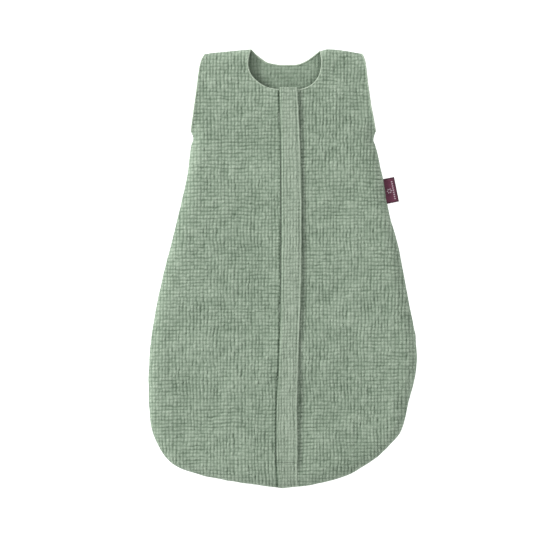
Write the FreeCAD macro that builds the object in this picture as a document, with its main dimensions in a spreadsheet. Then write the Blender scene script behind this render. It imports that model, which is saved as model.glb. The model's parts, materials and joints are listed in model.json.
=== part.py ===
"""Baby sleeping bag with a full-length front zip under a placket.

The bag lies on its back: X runs across it, Y from hem to neck, Z up from the
surface that it lies on. The origin is under the middle of the bag.
All sizes are millimetres.
"""
import FreeCAD, Part
import math
import os

import Sketcher

from FreeCAD import Placement, Rotation, Vector

SIZES = {
    # the cut of the bag
    "bag_length": 700.0,
    "bag_width": 428.0,
    "widest_up": 199.0,
    "shoulder_half": 124.0,
    "shoulder_drop": 7.0,
    "neck_half": 54.0,
    "front_neck_drop": 66.0,
    "back_neck_drop": 26.0,
    "underarm_half": 146.0,
    "underarm_drop": 132.0,
    # plies, seams and the loft of the front
    "back_ply": 1.2,
    "outer_ply": 1.0,
    "lining_ply": 0.8,
    "seam_ply": 1.0,
    "seam_reach": 6.0,
    "slope_reach": 15.0,
    "front_rise": 14.2,
    "binding_width": 5.0,
    "binding_ply": 0.6,
    # the fold line of each front flap and the clearance cut along it
    "fold_top_drop": 26.0,
    "fold_foot_half": 14.0,
    "fold_foot_up": 14.0,
    "fold_slot": 1.6,
    "end_slot": 1.0,
    # zip
    "zip_end_up": 44.0,
    "zip_top_drop": 2.0,
    "tape_reach": 10.0,
    "tape_ply": 0.8,
    "tape_tail": 18.0,
    "cloth_back_off": 4.0,
    "coil_gap_half": 0.7,
    "coil_width": 2.3,
    "coil_height": 2.1,
    "stop_length": 4.0,
    "end_stop_length": 5.0,
    "end_cover_half": 12.0,
    "end_cover_ply": 0.6,
    "end_cover_lap": 2.0,
    "slider_length": 10.0,
    "slider_half": 4.0,
    "slider_plate": 1.2,
    "slider_play": 0.3,
    "slider_under_play": 0.6,
    "slider_web_half": 0.3,
    "post_radius": 1.2,
    "post_play": 0.08,
    "post_height": 1.5,
    "pull_length": 20.0,
    "pull_half": 2.5,
    "pull_ply": 1.2,
    "pull_lift": 0.2,
    # placket strip
    "placket_left": 6.5,
    "placket_right": 27.0,
    "placket_ply": 0.8,
    "placket_play": 0.3,
    "placket_rise": 3.0,
    # labels
    "label_width": 21.5,
    "label_length": 40.0,
    "label_ply": 1.0,
    "label_top_drop": 207.0,
    "label_play": 0.4,
    "care_width": 22.0,
    "care_length": 38.0,
    "care_ply": 0.5,
    "care_inset": 12.0,
    "care_up": 250.0,
}

# Shape of the side seam, as shares: (across from underarm to widest, down the same way)
FLANK = ((0.31, 0.35), (0.67, 0.62), (0.93, 0.86))
# Shape of the rounded lower corner: (share of the half width, share of widest_up)
CORNER = ((0.972, 0.74), (0.873, 0.362), (0.683, 0.166), (0.375, 0.045))
# Necklines: (share of neck_half, share of the drop)
FRONT_NECK = ((1.04, 0.38), (0.87, 0.72), (0.46, 0.94))
BACK_NECK = ((0.70, 0.75),)
ARMHOLE_BOW = 1.0
SIDE_RUNS = 30
# How the neckline leaves the shoulder, and how the side seam leaves the underarm
NECK_LEAN = Vector(-0.12, 1, 0)
UNDERARM_LEAN = Vector(0.05, 1, 0)
# Upper end of the fold line, as a share of neck_half
FOLD_TOP_SHARE = 1.03
# Height and overlength of the tools that cut through every ply
TOOL_HEIGHT = 60.0
TOOL_OVER = 1.2


# ---------------------------------------------------------------- document

def make_sheet(doc):
    """Write the driving sizes into a spreadsheet, one aliased cell each."""
    sheet = doc.addObject("Spreadsheet::Sheet", "Dims")
    for row, (alias, value) in enumerate(SIZES.items(), start=1):
        sheet.set(f"A{row}", alias)
        sheet.set(f"B{row}", str(value))
        sheet.setAlias(f"B{row}", alias)
    doc.recompute()
    return sheet


class Sizes:
    """The sheet's values and the levels and places worked out from them."""

    def __init__(self, sheet):
        for alias in SIZES:
            setattr(self, alias, float(sheet.get(alias)))
        self.top = self.bag_length / 2
        self.hem = -self.bag_length / 2
        self.back_top = self.back_ply + self.lining_ply
        self.seam_top = self.back_top + self.seam_ply
        self.joint_level = self.front_rise + self.lining_ply
        self.cloth_top = self.joint_level + self.outer_ply
        self.neck_low = self.top - self.front_neck_drop
        self.zip_low = self.hem + self.zip_end_up
        self.fold_top = Vector(self.neck_half * FOLD_TOP_SHARE, self.top - self.fold_top_drop, 0)
        self.fold_foot = Vector(self.fold_foot_half, self.hem + self.fold_foot_up, 0)


# ------------------------------------------------------------- plan curves

def underarm(size):
    """Lower end of the right armhole."""
    return Vector(size.underarm_half, size.top - size.underarm_drop, 0)


def side_points(size):
    """Right side seam from the underarm round the lower corner to the hem's middle."""
    start = underarm(size)
    widest = Vector(size.bag_width / 2, size.hem + size.widest_up, 0)
    points = [start]
    for across, down in FLANK:
        points.append(Vector(start.x + across * (widest.x - start.x),
                             start.y + down * (widest.y - start.y), 0))
    points.append(widest)
    for across, up in CORNER:
        points.append(Vector(across * widest.x, size.hem + up * size.widest_up, 0))
    points.append(Vector(0, size.hem, 0))
    return points


def side_line(size):
    """The side seam as short straight runs along a smooth curve through its points."""
    smooth = Part.BSplineCurve()
    smooth.interpolate(side_points(size))
    return smooth.toShape().discretize(SIDE_RUNS + 1)


def shoulder_points(size):
    """Right shoulder seam, from the neck to the armhole."""
    return [Vector(size.neck_half, size.top, 0),
            Vector(size.shoulder_half, size.top - size.shoulder_drop, 0)]


def armhole_points(size):
    """Right armhole edge, from the shoulder to the underarm."""
    tip = shoulder_points(size)[1]
    end = underarm(size)
    middle = (tip + end) * 0.5 + Vector(ARMHOLE_BOW, 0, 0)
    return [tip, middle, end]


def neck_points(size, shape, drop):
    """Right half of a neckline, from the middle to the shoulder."""
    points = [Vector(0, size.top - drop, 0)]
    for across, down in reversed(shape):
        points.append(Vector(across * size.neck_half, size.top - down * drop, 0))
    points.append(Vector(size.neck_half, size.top, 0))
    return points


def mirrored(points):
    """The same points on the left side."""
    return [Vector(-p.x, p.y, p.z) for p in points]


def inset(points, reach, first, last):
    """Points moved inward by reach; the first and last go along the given directions."""
    moved = [points[0] + first * reach]
    for before, here, after in zip(points, points[1:], points[2:]):
        along = (after - before).normalize()
        moved.append(here + Vector(along.y, -along.x, 0) * reach)
    moved.append(points[-1] + last * reach)
    return moved


def at_level(points, level):
    return [Vector(p.x, p.y, level) for p in points]


def curve(points, start=None, end=None):
    """A smooth edge through the points, or a straight one through two."""
    if len(points) == 2:
        return Part.makeLine(points[0], points[1])
    spline = Part.BSplineCurve()
    if start is None:
        spline.interpolate(Points=points)
    else:
        spline.interpolate(Points=points, InitialTangent=start, FinalTangent=end)
    return spline.toShape()


def neck_edge(size, shape, drop):
    """A whole neckline."""
    half = neck_points(size, shape, drop)
    return curve(list(reversed(mirrored(half))) + half[1:])


def half_neck_edge(size):
    """The right half of the front neckline."""
    half = neck_points(size, FRONT_NECK, size.front_neck_drop)
    return curve(half, Vector(1, 0, 0), NECK_LEAN)


# ------------------------------------------------------------ sewn panels

def prism(edges, low, high):
    """A solid between two levels with the closed outline that the edges make."""
    wire = Part.Wire(Part.__sortEdges__(edges))
    face = Part.Face(wire)
    face.translate(Vector(0, 0, low - face.BoundBox.ZMin))
    return face.extrude(Vector(0, 0, high - low))


def back_outline(size):
    """Closed outline of the back panel."""
    edges = [neck_edge(size, BACK_NECK, size.back_neck_drop)]
    for side in (list, mirrored):
        edges.append(curve(side(shoulder_points(size))))
        edges.append(curve(side(armhole_points(size))))
        edges.extend(Part.makePolygon(side(side_line(size))).Edges)
    return edges


def front_outline(size):
    """Closed outline of the right front, whose straight edge is the middle line."""
    middle = Part.makeLine(Vector(0, size.hem, 0), Vector(0, size.neck_low, 0))
    edges = [half_neck_edge(size), curve(shoulder_points(size)), curve(armhole_points(size)), middle]
    return edges + Part.makePolygon(side_line(size)).Edges


def side_rows(size, lift):
    """Seam, flange and slope rows of the right front, from the outline inward."""
    points = side_line(size)
    upward = Vector(0, 1, 0)
    flange = inset(points, size.seam_reach, UNDERARM_LEAN, upward)
    slope = inset(points, size.seam_reach + size.slope_reach, UNDERARM_LEAN, upward)
    low = size.seam_top + lift
    high = size.front_rise + lift
    return [at_level(points, low), at_level(flange, low), at_level(slope, high)]


def shoulder_rows(size, lift):
    """The same rows at the right shoulder, run past the neck and the armhole."""
    first, second = shoulder_points(size)
    along = (second - first).normalize()
    overrun = size.seam_reach + size.slope_reach
    start = first - along * overrun
    end = second + along * overrun
    downward = Vector(along.y, -along.x, 0)
    low = size.seam_top + lift
    high = size.front_rise + lift
    rows = []
    for reach, level in ((-size.binding_width, low), (size.seam_reach, low),
                         (size.seam_reach + size.slope_reach, high)):
        rows.append(at_level([start + downward * reach, end + downward * reach], level))
    return rows


def plateau_outline(size, side_row, shoulder_row, level):
    """Corners of the level middle of the right front, run past the neck and the armhole."""
    inner, outer = shoulder_row
    middle = Vector(0, inner.y, level)
    beyond = Vector(outer.x + size.slope_reach, side_row[0].y, level)
    return side_row + [middle, inner, outer, beyond]


def thick_strip(low_row, high_row, ply):
    """A cloth strip between two rows of as many points, made of flat triangles."""
    up = Vector(0, 0, ply)
    triangles = []
    for index in range(len(low_row) - 1):
        a, b = low_row[index:index + 2]
        c, d = high_row[index:index + 2]
        triangles += [(a, b, d), (a, d, c)]
    faces = [flat_face(corners) for corners in triangles]
    faces += [flat_face([p + up for p in corners]) for corners in triangles]
    rim = low_row + list(reversed(high_row))
    for here, after in zip(rim, rim[1:] + rim[:1]):
        faces.append(flat_face((here, after, after + up, here + up)))
    solid = Part.Solid(Part.Shell(faces))
    if solid.Volume < 0:
        solid.reverse()
    return solid


def flat_face(corners):
    return Part.Face(Part.makePolygon(list(corners) + [corners[0]]))


def front_ply(size, lift, ply):
    """One ply of the right front: flange and slope at the seams, level in the middle."""
    side = side_rows(size, lift)
    shoulder = shoulder_rows(size, lift)
    level = size.front_rise + lift
    plateau = flat_face(plateau_outline(size, side[-1], shoulder[-1], level))
    whole = plateau.extrude(Vector(0, 0, ply))
    strips = [thick_strip(low, high, ply)
              for rows in (side, shoulder) for low, high in zip(rows, rows[1:])]
    return whole.multiFuse(strips).common(prism(front_outline(size), 0, 2 * level))


def slab(low_x, high_x, low_y, high_y, level=0.0, height=TOOL_HEIGHT):
    """A box between two X and two Y places."""
    return Part.makeBox(high_x - low_x, high_y - low_y, height, Vector(low_x, low_y, level))


def fold_cut(size):
    """The clearance round the right flap: along its fold line and across its foot."""
    run = size.fold_top - size.fold_foot
    length = run.Length
    along = Part.makeBox(size.fold_slot, length * TOOL_OVER, TOOL_HEIGHT, Vector(-size.fold_slot / 2, 0, 0))
    turn = math.degrees(math.atan2(-run.x, run.y))
    along.Placement = Placement(size.fold_foot, Rotation(Vector(0, 0, 1), turn))
    below = slab(-1, size.bag_width, size.hem, size.zip_low)
    across = slab(-1, fold_x(size, size.zip_low), size.zip_low - size.end_slot, size.zip_low)
    return along.cut(below).fuse(across)


def fold_x(size, height):
    """Distance of the fold line from the middle at a height on Y."""
    run = size.fold_top - size.fold_foot
    return size.fold_foot.x + run.x * (height - size.fold_foot.y) / run.y


def front_pieces(size, lift, ply, back_off):
    """The sewn-down part and the flap of one ply of the right front."""
    slot_low = size.zip_low - size.tape_tail
    panel = front_ply(size, lift, ply)
    panel = panel.cut(slab(-1, back_off, slot_low, size.top)).cut(fold_cut(size))
    solids = sorted(panel.Solids, key=lambda solid: solid.Volume)
    return solids[-1], solids[-2]


def seam_strip(size, rows, trim):
    """A seam allowance between the back and the front."""
    outer, inner = (at_level(row, size.back_top) for row in rows[:2])
    strip = thick_strip(outer, inner, size.seam_ply)
    return strip.common(prism(trim, 0, size.cloth_top))


def edge_strip(size, edge, inward, level):
    """A binding that follows a free edge, cut to width inside it."""
    other = edge.copy()
    other.translate(inward)
    face = Part.makeRuledSurface(edge, other)
    face.translate(Vector(0, 0, level - face.BoundBox.ZMin))
    return face.extrude(Vector(0, 0, size.binding_ply))


def front_neck_binding(size):
    """Binding on the right flap's neckline, from the fold line to the zip."""
    strip = edge_strip(size, half_neck_edge(size), Vector(0, -size.binding_width, 0), size.cloth_top)
    beyond = slab(-1, size.cloth_back_off, size.hem, size.top)
    strip = strip.cut(beyond).cut(fold_cut(size))
    strip = strip.common(prism(front_outline(size), 0, TOOL_HEIGHT))
    return min(strip.Solids, key=lambda solid: solid.CenterOfMass.x)


def back_neck_binding(size):
    """Binding on the inside of the back neckline."""
    edge = neck_edge(size, BACK_NECK, size.back_neck_drop)
    strip = edge_strip(size, edge, Vector(0, -size.binding_width, 0), size.back_top)
    clear = size.seam_reach + size.fold_slot
    return strip.cut(slab(-size.bag_width, size.bag_width, size.top - clear, size.bag_length))


def armhole_binding(size, level):
    """Binding on a right armhole edge, clear of the seams at both of its ends."""
    reach = size.seam_reach + size.slope_reach + size.binding_width
    strip = edge_strip(size, curve(armhole_points(size)), Vector(-size.binding_width, 0, 0), level)
    low = underarm(size).y + reach
    high = size.top - size.shoulder_drop - reach
    return strip.common(slab(0, size.bag_width, low, high))


# --------------------------------------------------------- document objects

def add_shape(doc, name, shape):
    """A sub-part whose shape is made of sewn surfaces."""
    feature = doc.addObject("Part::Feature", name)
    feature.Shape = shape
    feature.Placement = Placement()
    return feature


def add_mirror(doc, name, source):
    """The left twin of a sub-part on the right."""
    twin = doc.addObject("Part::Mirroring", name)
    twin.Source = source
    twin.Normal = Vector(1, 0, 0)
    return twin


def add_box(doc, name, corner, lengths):
    """A box whose corner and lengths are expressions on the sheet."""
    box = doc.addObject("Part::Box", name)
    for axis, expression in zip("xyz", corner):
        box.setExpression(f"Placement.Base.{axis}", expression)
    for side, expression in zip(("Length", "Width", "Height"), lengths):
        box.setExpression(side, expression)
    return box


def origin_plane(body, role):
    return next(plane for plane in body.Origin.OriginFeatures if plane.Role == role)


def add_profile(doc, name, role, corners, length, offset):
    """A body padded from a closed outline; corners are pairs of expressions.

    The outline lies on an origin plane, raised from it by the offset expression.
    """
    body = doc.addObject("PartDesign::Body", name)
    sketch = body.newObject("Sketcher::SketchObject", name + "_outline")
    sketch.AttachmentSupport = [(origin_plane(body, role), "")]
    sketch.MapMode = "FlatFace"
    sketch.setExpression("AttachmentOffset.Base.z", offset)
    count = len(corners)
    places = [Vector(number(doc, across), number(doc, up), 0) for across, up in corners]
    for index, place in enumerate(places):
        sketch.addGeometry(Part.LineSegment(place, places[(index + 1) % count]))
    for index, (across, up) in enumerate(corners):
        after = (index + 1) % count
        sketch.addConstraint(Sketcher.Constraint("Coincident", index, 2, after, 1))
        for kind, expression in (("DistanceX", across), ("DistanceY", up)):
            rule = Sketcher.Constraint(kind, -1, 1, index, 1, number(doc, expression))
            row = sketch.addConstraint(rule)
            sketch.setExpression(f"Constraints[{row}]", expression)
    pad = body.newObject("PartDesign::Pad", name + "_pad")
    pad.Profile = sketch
    pad.setExpression("Length", length)
    body.Tip = pad
    return body


def number(doc, expression):
    """The value of an expression on the sheet."""
    value = doc.Dims.evalExpression(expression)
    return float(getattr(value, "Value", value))


# ------------------------------------------------------------------ sub-parts

JOINT_LEVEL = "(Dims.front_rise + Dims.lining_ply)"
COIL_TOP = f"({JOINT_LEVEL} + Dims.coil_height)"
CLOTH_TOP = f"({JOINT_LEVEL} + Dims.outer_ply)"
ZIP_TOP = "(Dims.bag_length / 2 - Dims.front_neck_drop - Dims.zip_top_drop)"
ZIP_LOW = "(-Dims.bag_length / 2 + Dims.zip_end_up)"
TAIL_TOP = f"({ZIP_LOW} - Dims.end_slot)"
PLATE_LOW = f"({COIL_TOP} + Dims.slider_play)"
PLATE_TOP = f"({PLATE_LOW} + Dims.slider_plate)"
UNDER_TOP = "(Dims.front_rise - Dims.slider_under_play)"
SLIDER_TOP = f"({ZIP_TOP} - Dims.stop_length - Dims.slider_play)"
POST_Y = f"({SLIDER_TOP} - Dims.slider_length / 2)"
FLAP_LOW = f"({PLATE_TOP} + Dims.post_height + Dims.placket_play)"
FOOT_LOW = f"({CLOTH_TOP} + Dims.binding_ply + Dims.placket_play)"


def add_back(doc, size):
    """Outer ply and lining of the back, and the binding on its neckline."""
    outline = back_outline(size)
    add_shape(doc, "back_outer", prism(outline, 0, size.back_ply))
    add_shape(doc, "back_lining", prism(outline, size.back_ply, size.back_top))
    add_shape(doc, "neck_binding_back", back_neck_binding(size))


def add_fronts(doc, size):
    """Both plies of both fronts, each in a sewn-down part and a flap."""
    plies = (("lining", 0.0, size.lining_ply, size.tape_reach),
             ("outer", size.lining_ply, size.outer_ply, size.cloth_back_off))
    for ply_name, lift, ply, back_off in plies:
        for part_name, shape in zip(("front", "flap"), front_pieces(size, lift, ply, back_off)):
            add_pair(doc, part_name, ply_name, shape)


def add_pair(doc, first, last, shape):
    """A right sub-part and its left twin."""
    right = add_shape(doc, f"{first}_right_{last}", shape)
    add_mirror(doc, f"{first}_left_{last}", right)


def add_seams(doc, size):
    """Seam allowances and bindings along the edges."""
    side = seam_strip(size, side_rows(size, 0), front_outline(size))
    shoulder = seam_strip(size, shoulder_rows(size, 0), front_outline(size))
    add_pair(doc, "side", "seam", side)
    add_pair(doc, "shoulder", "seam", shoulder)
    add_pair(doc, "neck", "binding", front_neck_binding(size))
    add_pair(doc, "armhole_front", "binding", armhole_binding(size, size.cloth_top))
    add_pair(doc, "armhole_back", "binding", armhole_binding(size, size.back_top))


def add_zip_halves(doc):
    """Tape, coil and top stop of the right half, and their left twins."""
    half_pieces = (
        ("zip_right_tape", ("Dims.coil_gap_half", ZIP_LOW, "Dims.front_rise"),
         ("Dims.tape_reach - Dims.coil_gap_half", f"{ZIP_TOP} - {ZIP_LOW}", "Dims.tape_ply")),
        ("zip_right_coil", ("Dims.coil_gap_half", ZIP_LOW, JOINT_LEVEL),
         ("Dims.coil_width", f"{ZIP_TOP} - Dims.stop_length - {ZIP_LOW}", "Dims.coil_height")),
        ("zip_right_top_stop",
         ("Dims.coil_gap_half", f"{ZIP_TOP} - Dims.stop_length", JOINT_LEVEL),
         ("Dims.coil_width", "Dims.stop_length", "Dims.coil_height")),
        ("zip_right_tape_tail",
         ("Dims.coil_gap_half", f"{ZIP_LOW} - Dims.tape_tail", "Dims.front_rise"),
         ("Dims.tape_reach - Dims.coil_gap_half", f"{TAIL_TOP} - {ZIP_LOW} + Dims.tape_tail",
          "Dims.tape_ply")),
    )
    for name, corner, lengths in half_pieces:
        right = add_box(doc, name, corner, lengths)
        add_mirror(doc, name.replace("right", "left"), right)


def add_zip_end(doc):
    """Bottom stop of the zip and the cloth cover behind its end."""
    add_box(doc, "zip_bottom_stop",
            ("-Dims.coil_width", f"{TAIL_TOP} - Dims.end_stop_length", JOINT_LEVEL),
            ("2 * Dims.coil_width", "Dims.end_stop_length", "Dims.coil_height"))
    add_box(doc, "zip_end_cover",
            ("-Dims.end_cover_half", f"{ZIP_LOW} - Dims.tape_tail - Dims.end_cover_lap",
             "Dims.front_rise - Dims.end_cover_ply"),
            ("2 * Dims.end_cover_half", "Dims.tape_tail", "Dims.end_cover_ply"))


def add_slider(doc):
    """Slider of two plates and a web, its post, and the pull that turns on the post."""
    under_low = f"({UNDER_TOP} - Dims.slider_plate)"
    half, web = "Dims.slider_half", "Dims.slider_web_half"
    corners = [(f"-{half}", under_low), (web, under_low), (web, PLATE_LOW), (half, PLATE_LOW),
               (half, PLATE_TOP), (f"-{half}", PLATE_TOP), (f"-{half}", PLATE_LOW),
               (f"-{web}", PLATE_LOW), (f"-{web}", UNDER_TOP), (f"-{half}", UNDER_TOP)]
    add_profile(doc, "zip_slider", "XZ_Plane", corners, "Dims.slider_length", f"-{SLIDER_TOP}")
    post = doc.addObject("Part::Cylinder", "zip_slider_post")
    post.setExpression("Radius", "Dims.post_radius")
    post.setExpression("Height", "Dims.post_height")
    post.setExpression("Placement.Base.y", POST_Y)
    post.setExpression("Placement.Base.z", PLATE_TOP)
    plate = add_box(doc, "pull_plate",
                    ("-Dims.pull_half", f"{POST_Y} - Dims.pull_length",
                     f"{PLATE_TOP} + Dims.pull_lift"),
                    ("2 * Dims.pull_half", "Dims.pull_length + Dims.pull_half", "Dims.pull_ply"))
    eye = doc.addObject("Part::Cylinder", "pull_eye")
    eye.setExpression("Radius", "Dims.post_radius + Dims.post_play")
    eye.setExpression("Height", "4 * Dims.pull_ply")
    eye.setExpression("Placement.Base.y", POST_Y)
    eye.setExpression("Placement.Base.z", f"{PLATE_TOP} - Dims.pull_ply")
    pull = doc.addObject("Part::Cut", "zip_pull")
    pull.Base = plate
    pull.Tool = eye


def add_placket(doc):
    """The strip over the zip: an outer ply folded round a facing, and its sewn lower end."""
    left, right = "-Dims.placket_left", "Dims.placket_right"
    ply = "Dims.placket_ply"
    outer = [(left, FOOT_LOW), (f"{left} + {ply}", FOOT_LOW),
             (f"{left} + {ply}", f"{FLAP_LOW} + {ply}"), (right, f"{FLAP_LOW} + {ply}"),
             (right, f"{FLAP_LOW} + 2 * {ply}"), (left, f"{FLAP_LOW} + 2 * {ply}")]
    facing = [(f"{left} + {ply}", FOOT_LOW), (f"{left} + 2 * {ply}", FOOT_LOW),
              (f"{left} + 2 * {ply}", FLAP_LOW), (right, FLAP_LOW),
              (right, f"{FLAP_LOW} + {ply}"), (f"{left} + {ply}", f"{FLAP_LOW} + {ply}")]
    top = f"({ZIP_TOP} + Dims.placket_rise)"
    for name, corners in (("placket_outer", outer), ("placket_facing", facing)):
        add_profile(doc, name, "XZ_Plane", corners, f"{top} - {ZIP_LOW}", f"-{top}")
    end_low = "(-Dims.bag_length / 2 + Dims.seam_reach + Dims.slope_reach)"
    stop_low = f"({TAIL_TOP} - Dims.end_stop_length - Dims.placket_play)"
    add_box(doc, "placket_lower_end", (left, end_low, CLOTH_TOP),
            ("Dims.placket_right + Dims.placket_left", f"{stop_low} - {end_low}", f"2 * {ply}"))


def seam_place(size, height):
    """The point of the right side seam at a height on Y."""
    line = side_line(size)
    for above, below in zip(line, line[1:]):
        if above.y >= height > below.y:
            share = (above.y - height) / (above.y - below.y)
            return above + (below - above) * share
    raise ValueError("the label is not beside the side seam")


def label_placement(size):
    """Place of the side label: its short edge square to the right side seam."""
    high = size.top - size.label_top_drop
    upper = seam_place(size, high)
    lower = seam_place(size, high - size.label_length)
    turn = math.atan2(lower.x - upper.x, upper.y - lower.y)
    outward = Vector(math.cos(turn), math.sin(turn), 0) * size.label_play
    level = Vector(0, 0, size.back_top)
    return Placement(lower + outward + level, Rotation(Vector(0, 0, 1), math.degrees(turn)))


def add_labels(doc, size):
    """The folded label in the side seam and the care label inside."""
    label = doc.addObject("Part::Box", "side_label")
    label.setExpression("Length", "Dims.label_width")
    label.setExpression("Width", "Dims.label_length")
    label.setExpression("Height", "Dims.label_ply")
    label.Placement = label_placement(size)
    add_box(doc, "care_label",
            ("-Dims.bag_width / 2 + 3 * Dims.care_inset", "-Dims.bag_length / 2 + Dims.care_up",
             "Dims.back_ply + Dims.lining_ply"),
            ("Dims.care_width", "Dims.care_length", "Dims.care_ply"))


# Objects that only shape others and are not pieces of the bag.
HELPERS = ("pull_plate", "pull_eye")
SOLID_TYPES = ("Part::", "PartDesign::Body")


def pieces(doc):
    """Every sub-part of the bag, in the order in which it was added."""
    found = []
    for item in doc.Objects:
        if item.TypeId.startswith(SOLID_TYPES) and item.Label not in HELPERS:
            found.append(item)
    return found


def check(doc):
    """Stop unless every object recomputed and every sub-part is one valid shape."""
    for item in doc.Objects:
        bad = {"Invalid", "Error"} & set(item.State)
        if bad:
            raise RuntimeError(f"{item.Label} failed: {item.State}")
    for item in pieces(doc):
        shape = item.Shape
        if shape.isNull() or not shape.isValid() or not shape.Solids:
            raise RuntimeError(f"{item.Label} has no valid solid")


def write(doc):
    """Write each sub-part to its own file, named after its label."""
    os.makedirs("parts", exist_ok=True)
    for item in pieces(doc):
        item.Shape.exportStep(f"parts/{item.Label}.step")
        print(f"{item.Label}: {item.Shape.Volume:.1f} mm3 in {len(item.Shape.Solids)} solid(s)")


def build():
    doc = FreeCAD.newDocument("SleepingBag")
    size = Sizes(make_sheet(doc))
    add_back(doc, size)
    add_fronts(doc, size)
    add_seams(doc, size)
    add_zip_halves(doc)
    add_zip_end(doc)
    add_slider(doc)
    add_placket(doc)
    add_labels(doc, size)
    doc.recompute()
    check(doc)
    write(doc)


build()
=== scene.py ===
"""Visual model of a muslin baby sleeping bag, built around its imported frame.

The bag lies on its back with the neck towards +Y. Cloth is made as fine meshes whose
puffs and grooves are real geometry; the zip, its slider and the labels are modelled
piece by piece. Lengths are metres; pattern outlines are written in millimetres.
"""
import json
import logging
import math
from dataclasses import dataclass, field
from enum import Enum

import bpy
import numpy as np
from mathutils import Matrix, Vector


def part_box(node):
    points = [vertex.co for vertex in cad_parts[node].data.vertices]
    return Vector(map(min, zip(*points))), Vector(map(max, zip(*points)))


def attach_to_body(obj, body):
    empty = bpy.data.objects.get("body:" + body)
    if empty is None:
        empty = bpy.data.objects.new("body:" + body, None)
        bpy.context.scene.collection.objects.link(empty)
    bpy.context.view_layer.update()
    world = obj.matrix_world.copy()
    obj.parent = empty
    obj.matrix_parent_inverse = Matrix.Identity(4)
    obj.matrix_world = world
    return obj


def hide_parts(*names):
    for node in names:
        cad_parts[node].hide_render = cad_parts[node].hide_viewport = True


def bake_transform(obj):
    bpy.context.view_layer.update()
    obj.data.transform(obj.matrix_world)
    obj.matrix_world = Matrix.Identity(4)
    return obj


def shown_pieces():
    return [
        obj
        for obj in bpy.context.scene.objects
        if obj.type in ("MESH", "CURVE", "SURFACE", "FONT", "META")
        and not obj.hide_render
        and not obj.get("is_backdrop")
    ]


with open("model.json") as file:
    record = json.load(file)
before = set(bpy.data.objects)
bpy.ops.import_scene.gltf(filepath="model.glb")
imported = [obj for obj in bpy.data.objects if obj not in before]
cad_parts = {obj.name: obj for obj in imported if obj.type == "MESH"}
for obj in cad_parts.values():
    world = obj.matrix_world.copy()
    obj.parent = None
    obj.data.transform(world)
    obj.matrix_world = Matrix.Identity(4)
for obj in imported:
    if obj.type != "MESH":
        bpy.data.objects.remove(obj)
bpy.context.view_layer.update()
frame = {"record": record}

LOG = logging.getLogger("sleeping_bag")
MM = 0.001
NOISE_CELLS = 256
NOISE_START = (97.3, 61.7)
PLACES_AT_ONCE = 8000
FAR = 1e3


# ------------------------------------------------------------------ numbers

def value_noise(x: np.ndarray, y: np.ndarray, pitch: float, seed: int) -> np.ndarray:
    """Smooth noise between -1 and 1.

    Args:
        x: Places across, in any unit.
        y: Places along, in the same unit.
        pitch: Distance between the noise's own grid points.
        seed: Which noise.

    Returns:
        One value for each place.
    """
    table = np.random.default_rng(seed).uniform(-1, 1, (NOISE_CELLS + 1, NOISE_CELLS + 1))
    gx, gy = x / pitch + NOISE_START[0], y / pitch + NOISE_START[1]
    ix, iy = np.floor(gx).astype(int), np.floor(gy).astype(int)
    fx, fy = smooth_step(gx - ix), smooth_step(gy - iy)
    ix, iy = ix % NOISE_CELLS, iy % NOISE_CELLS
    low = table[ix, iy] * (1 - fx) + table[ix + 1, iy] * fx
    high = table[ix, iy + 1] * (1 - fx) + table[ix + 1, iy + 1] * fx
    return low * (1 - fy) + high * fy


def smooth_step(t: np.ndarray) -> np.ndarray:
    """An even rise from 0 to 1 as t goes from 0 to 1, and level outside."""
    t = np.clip(t, 0, 1)
    return t * t * (3 - 2 * t)


def smooth_run(points: list, step: float = 3.0) -> np.ndarray:
    """Points along a smooth line through a few chosen ones.

    Args:
        points: The chosen points, (x, y) in millimetres.
        step: Distance between the points that are returned.

    Returns:
        An array of points, one row each.
    """
    p = np.array(points, float)
    p = np.vstack([2 * p[0] - p[1], p, 2 * p[-1] - p[-2]])
    rows = []
    for a, b, c, d in zip(p, p[1:], p[2:], p[3:]):
        count = max(2, int(np.linalg.norm(c - b) / step))
        t = np.linspace(0, 1, count, endpoint=False)[:, None]
        rows.append(0.5 * (2 * b + (c - a) * t + (2 * a - 5 * b + 4 * c - d) * t ** 2
                           + (3 * b - a - 3 * c + d) * t ** 3))
    return np.vstack(rows + [p[-2]])


def nearest_on(line: np.ndarray, places: np.ndarray) -> tuple:
    """The nearest point of a line to each place.

    Args:
        line: The line's points, in order.
        places: The places to measure from.

    Returns:
        The distances, and the nearest points.
    """
    a, b = line[:-1], line[1:]
    ab = b - a
    length2 = np.maximum((ab ** 2).sum(1), 1e-12)
    distance = np.empty(len(places))
    foot = np.empty_like(places)
    for low in range(0, len(places), PLACES_AT_ONCE):
        part = places[low:low + PLACES_AT_ONCE]
        t = np.clip(((part[:, None] - a) * ab).sum(2) / length2, 0, 1)
        at = a + t[..., None] * ab
        gap2 = ((part[:, None] - at) ** 2).sum(2)
        best = gap2.argmin(1)
        row = np.arange(len(part))
        distance[low:low + len(part)] = np.sqrt(gap2[row, best])
        foot[low:low + len(part)] = at[row, best]
    return distance, foot


def inside(loop: np.ndarray, places: np.ndarray) -> np.ndarray:
    """Which places lie inside a closed loop.

    Args:
        loop: The loop's corners.
        places: The places to test.

    Returns:
        True for each place inside.
    """
    result = np.zeros(len(places), bool)
    x, y = places[:, 0], places[:, 1]
    for (x1, y1), (x2, y2) in zip(loop, np.roll(loop, -1, 0)):
        if y1 == y2:
            continue
        crosses = (y1 > y) != (y2 > y)
        result ^= crosses & (x < (x2 - x1) * (y - y1) / (y2 - y1) + x1)
    return result


# ------------------------------------------------------------------ crinkle

@dataclass(frozen=True)
class Layer:
    """One layer of unevenness.

    Attributes:
        pitch: Pitch of its noise, in millimetres.
        height: Its height, in millimetres.
        tone: How much lighter its crests are, as painted highlight; its hollows get painted shade.
    """

    pitch: float
    height: float
    tone: float


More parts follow.
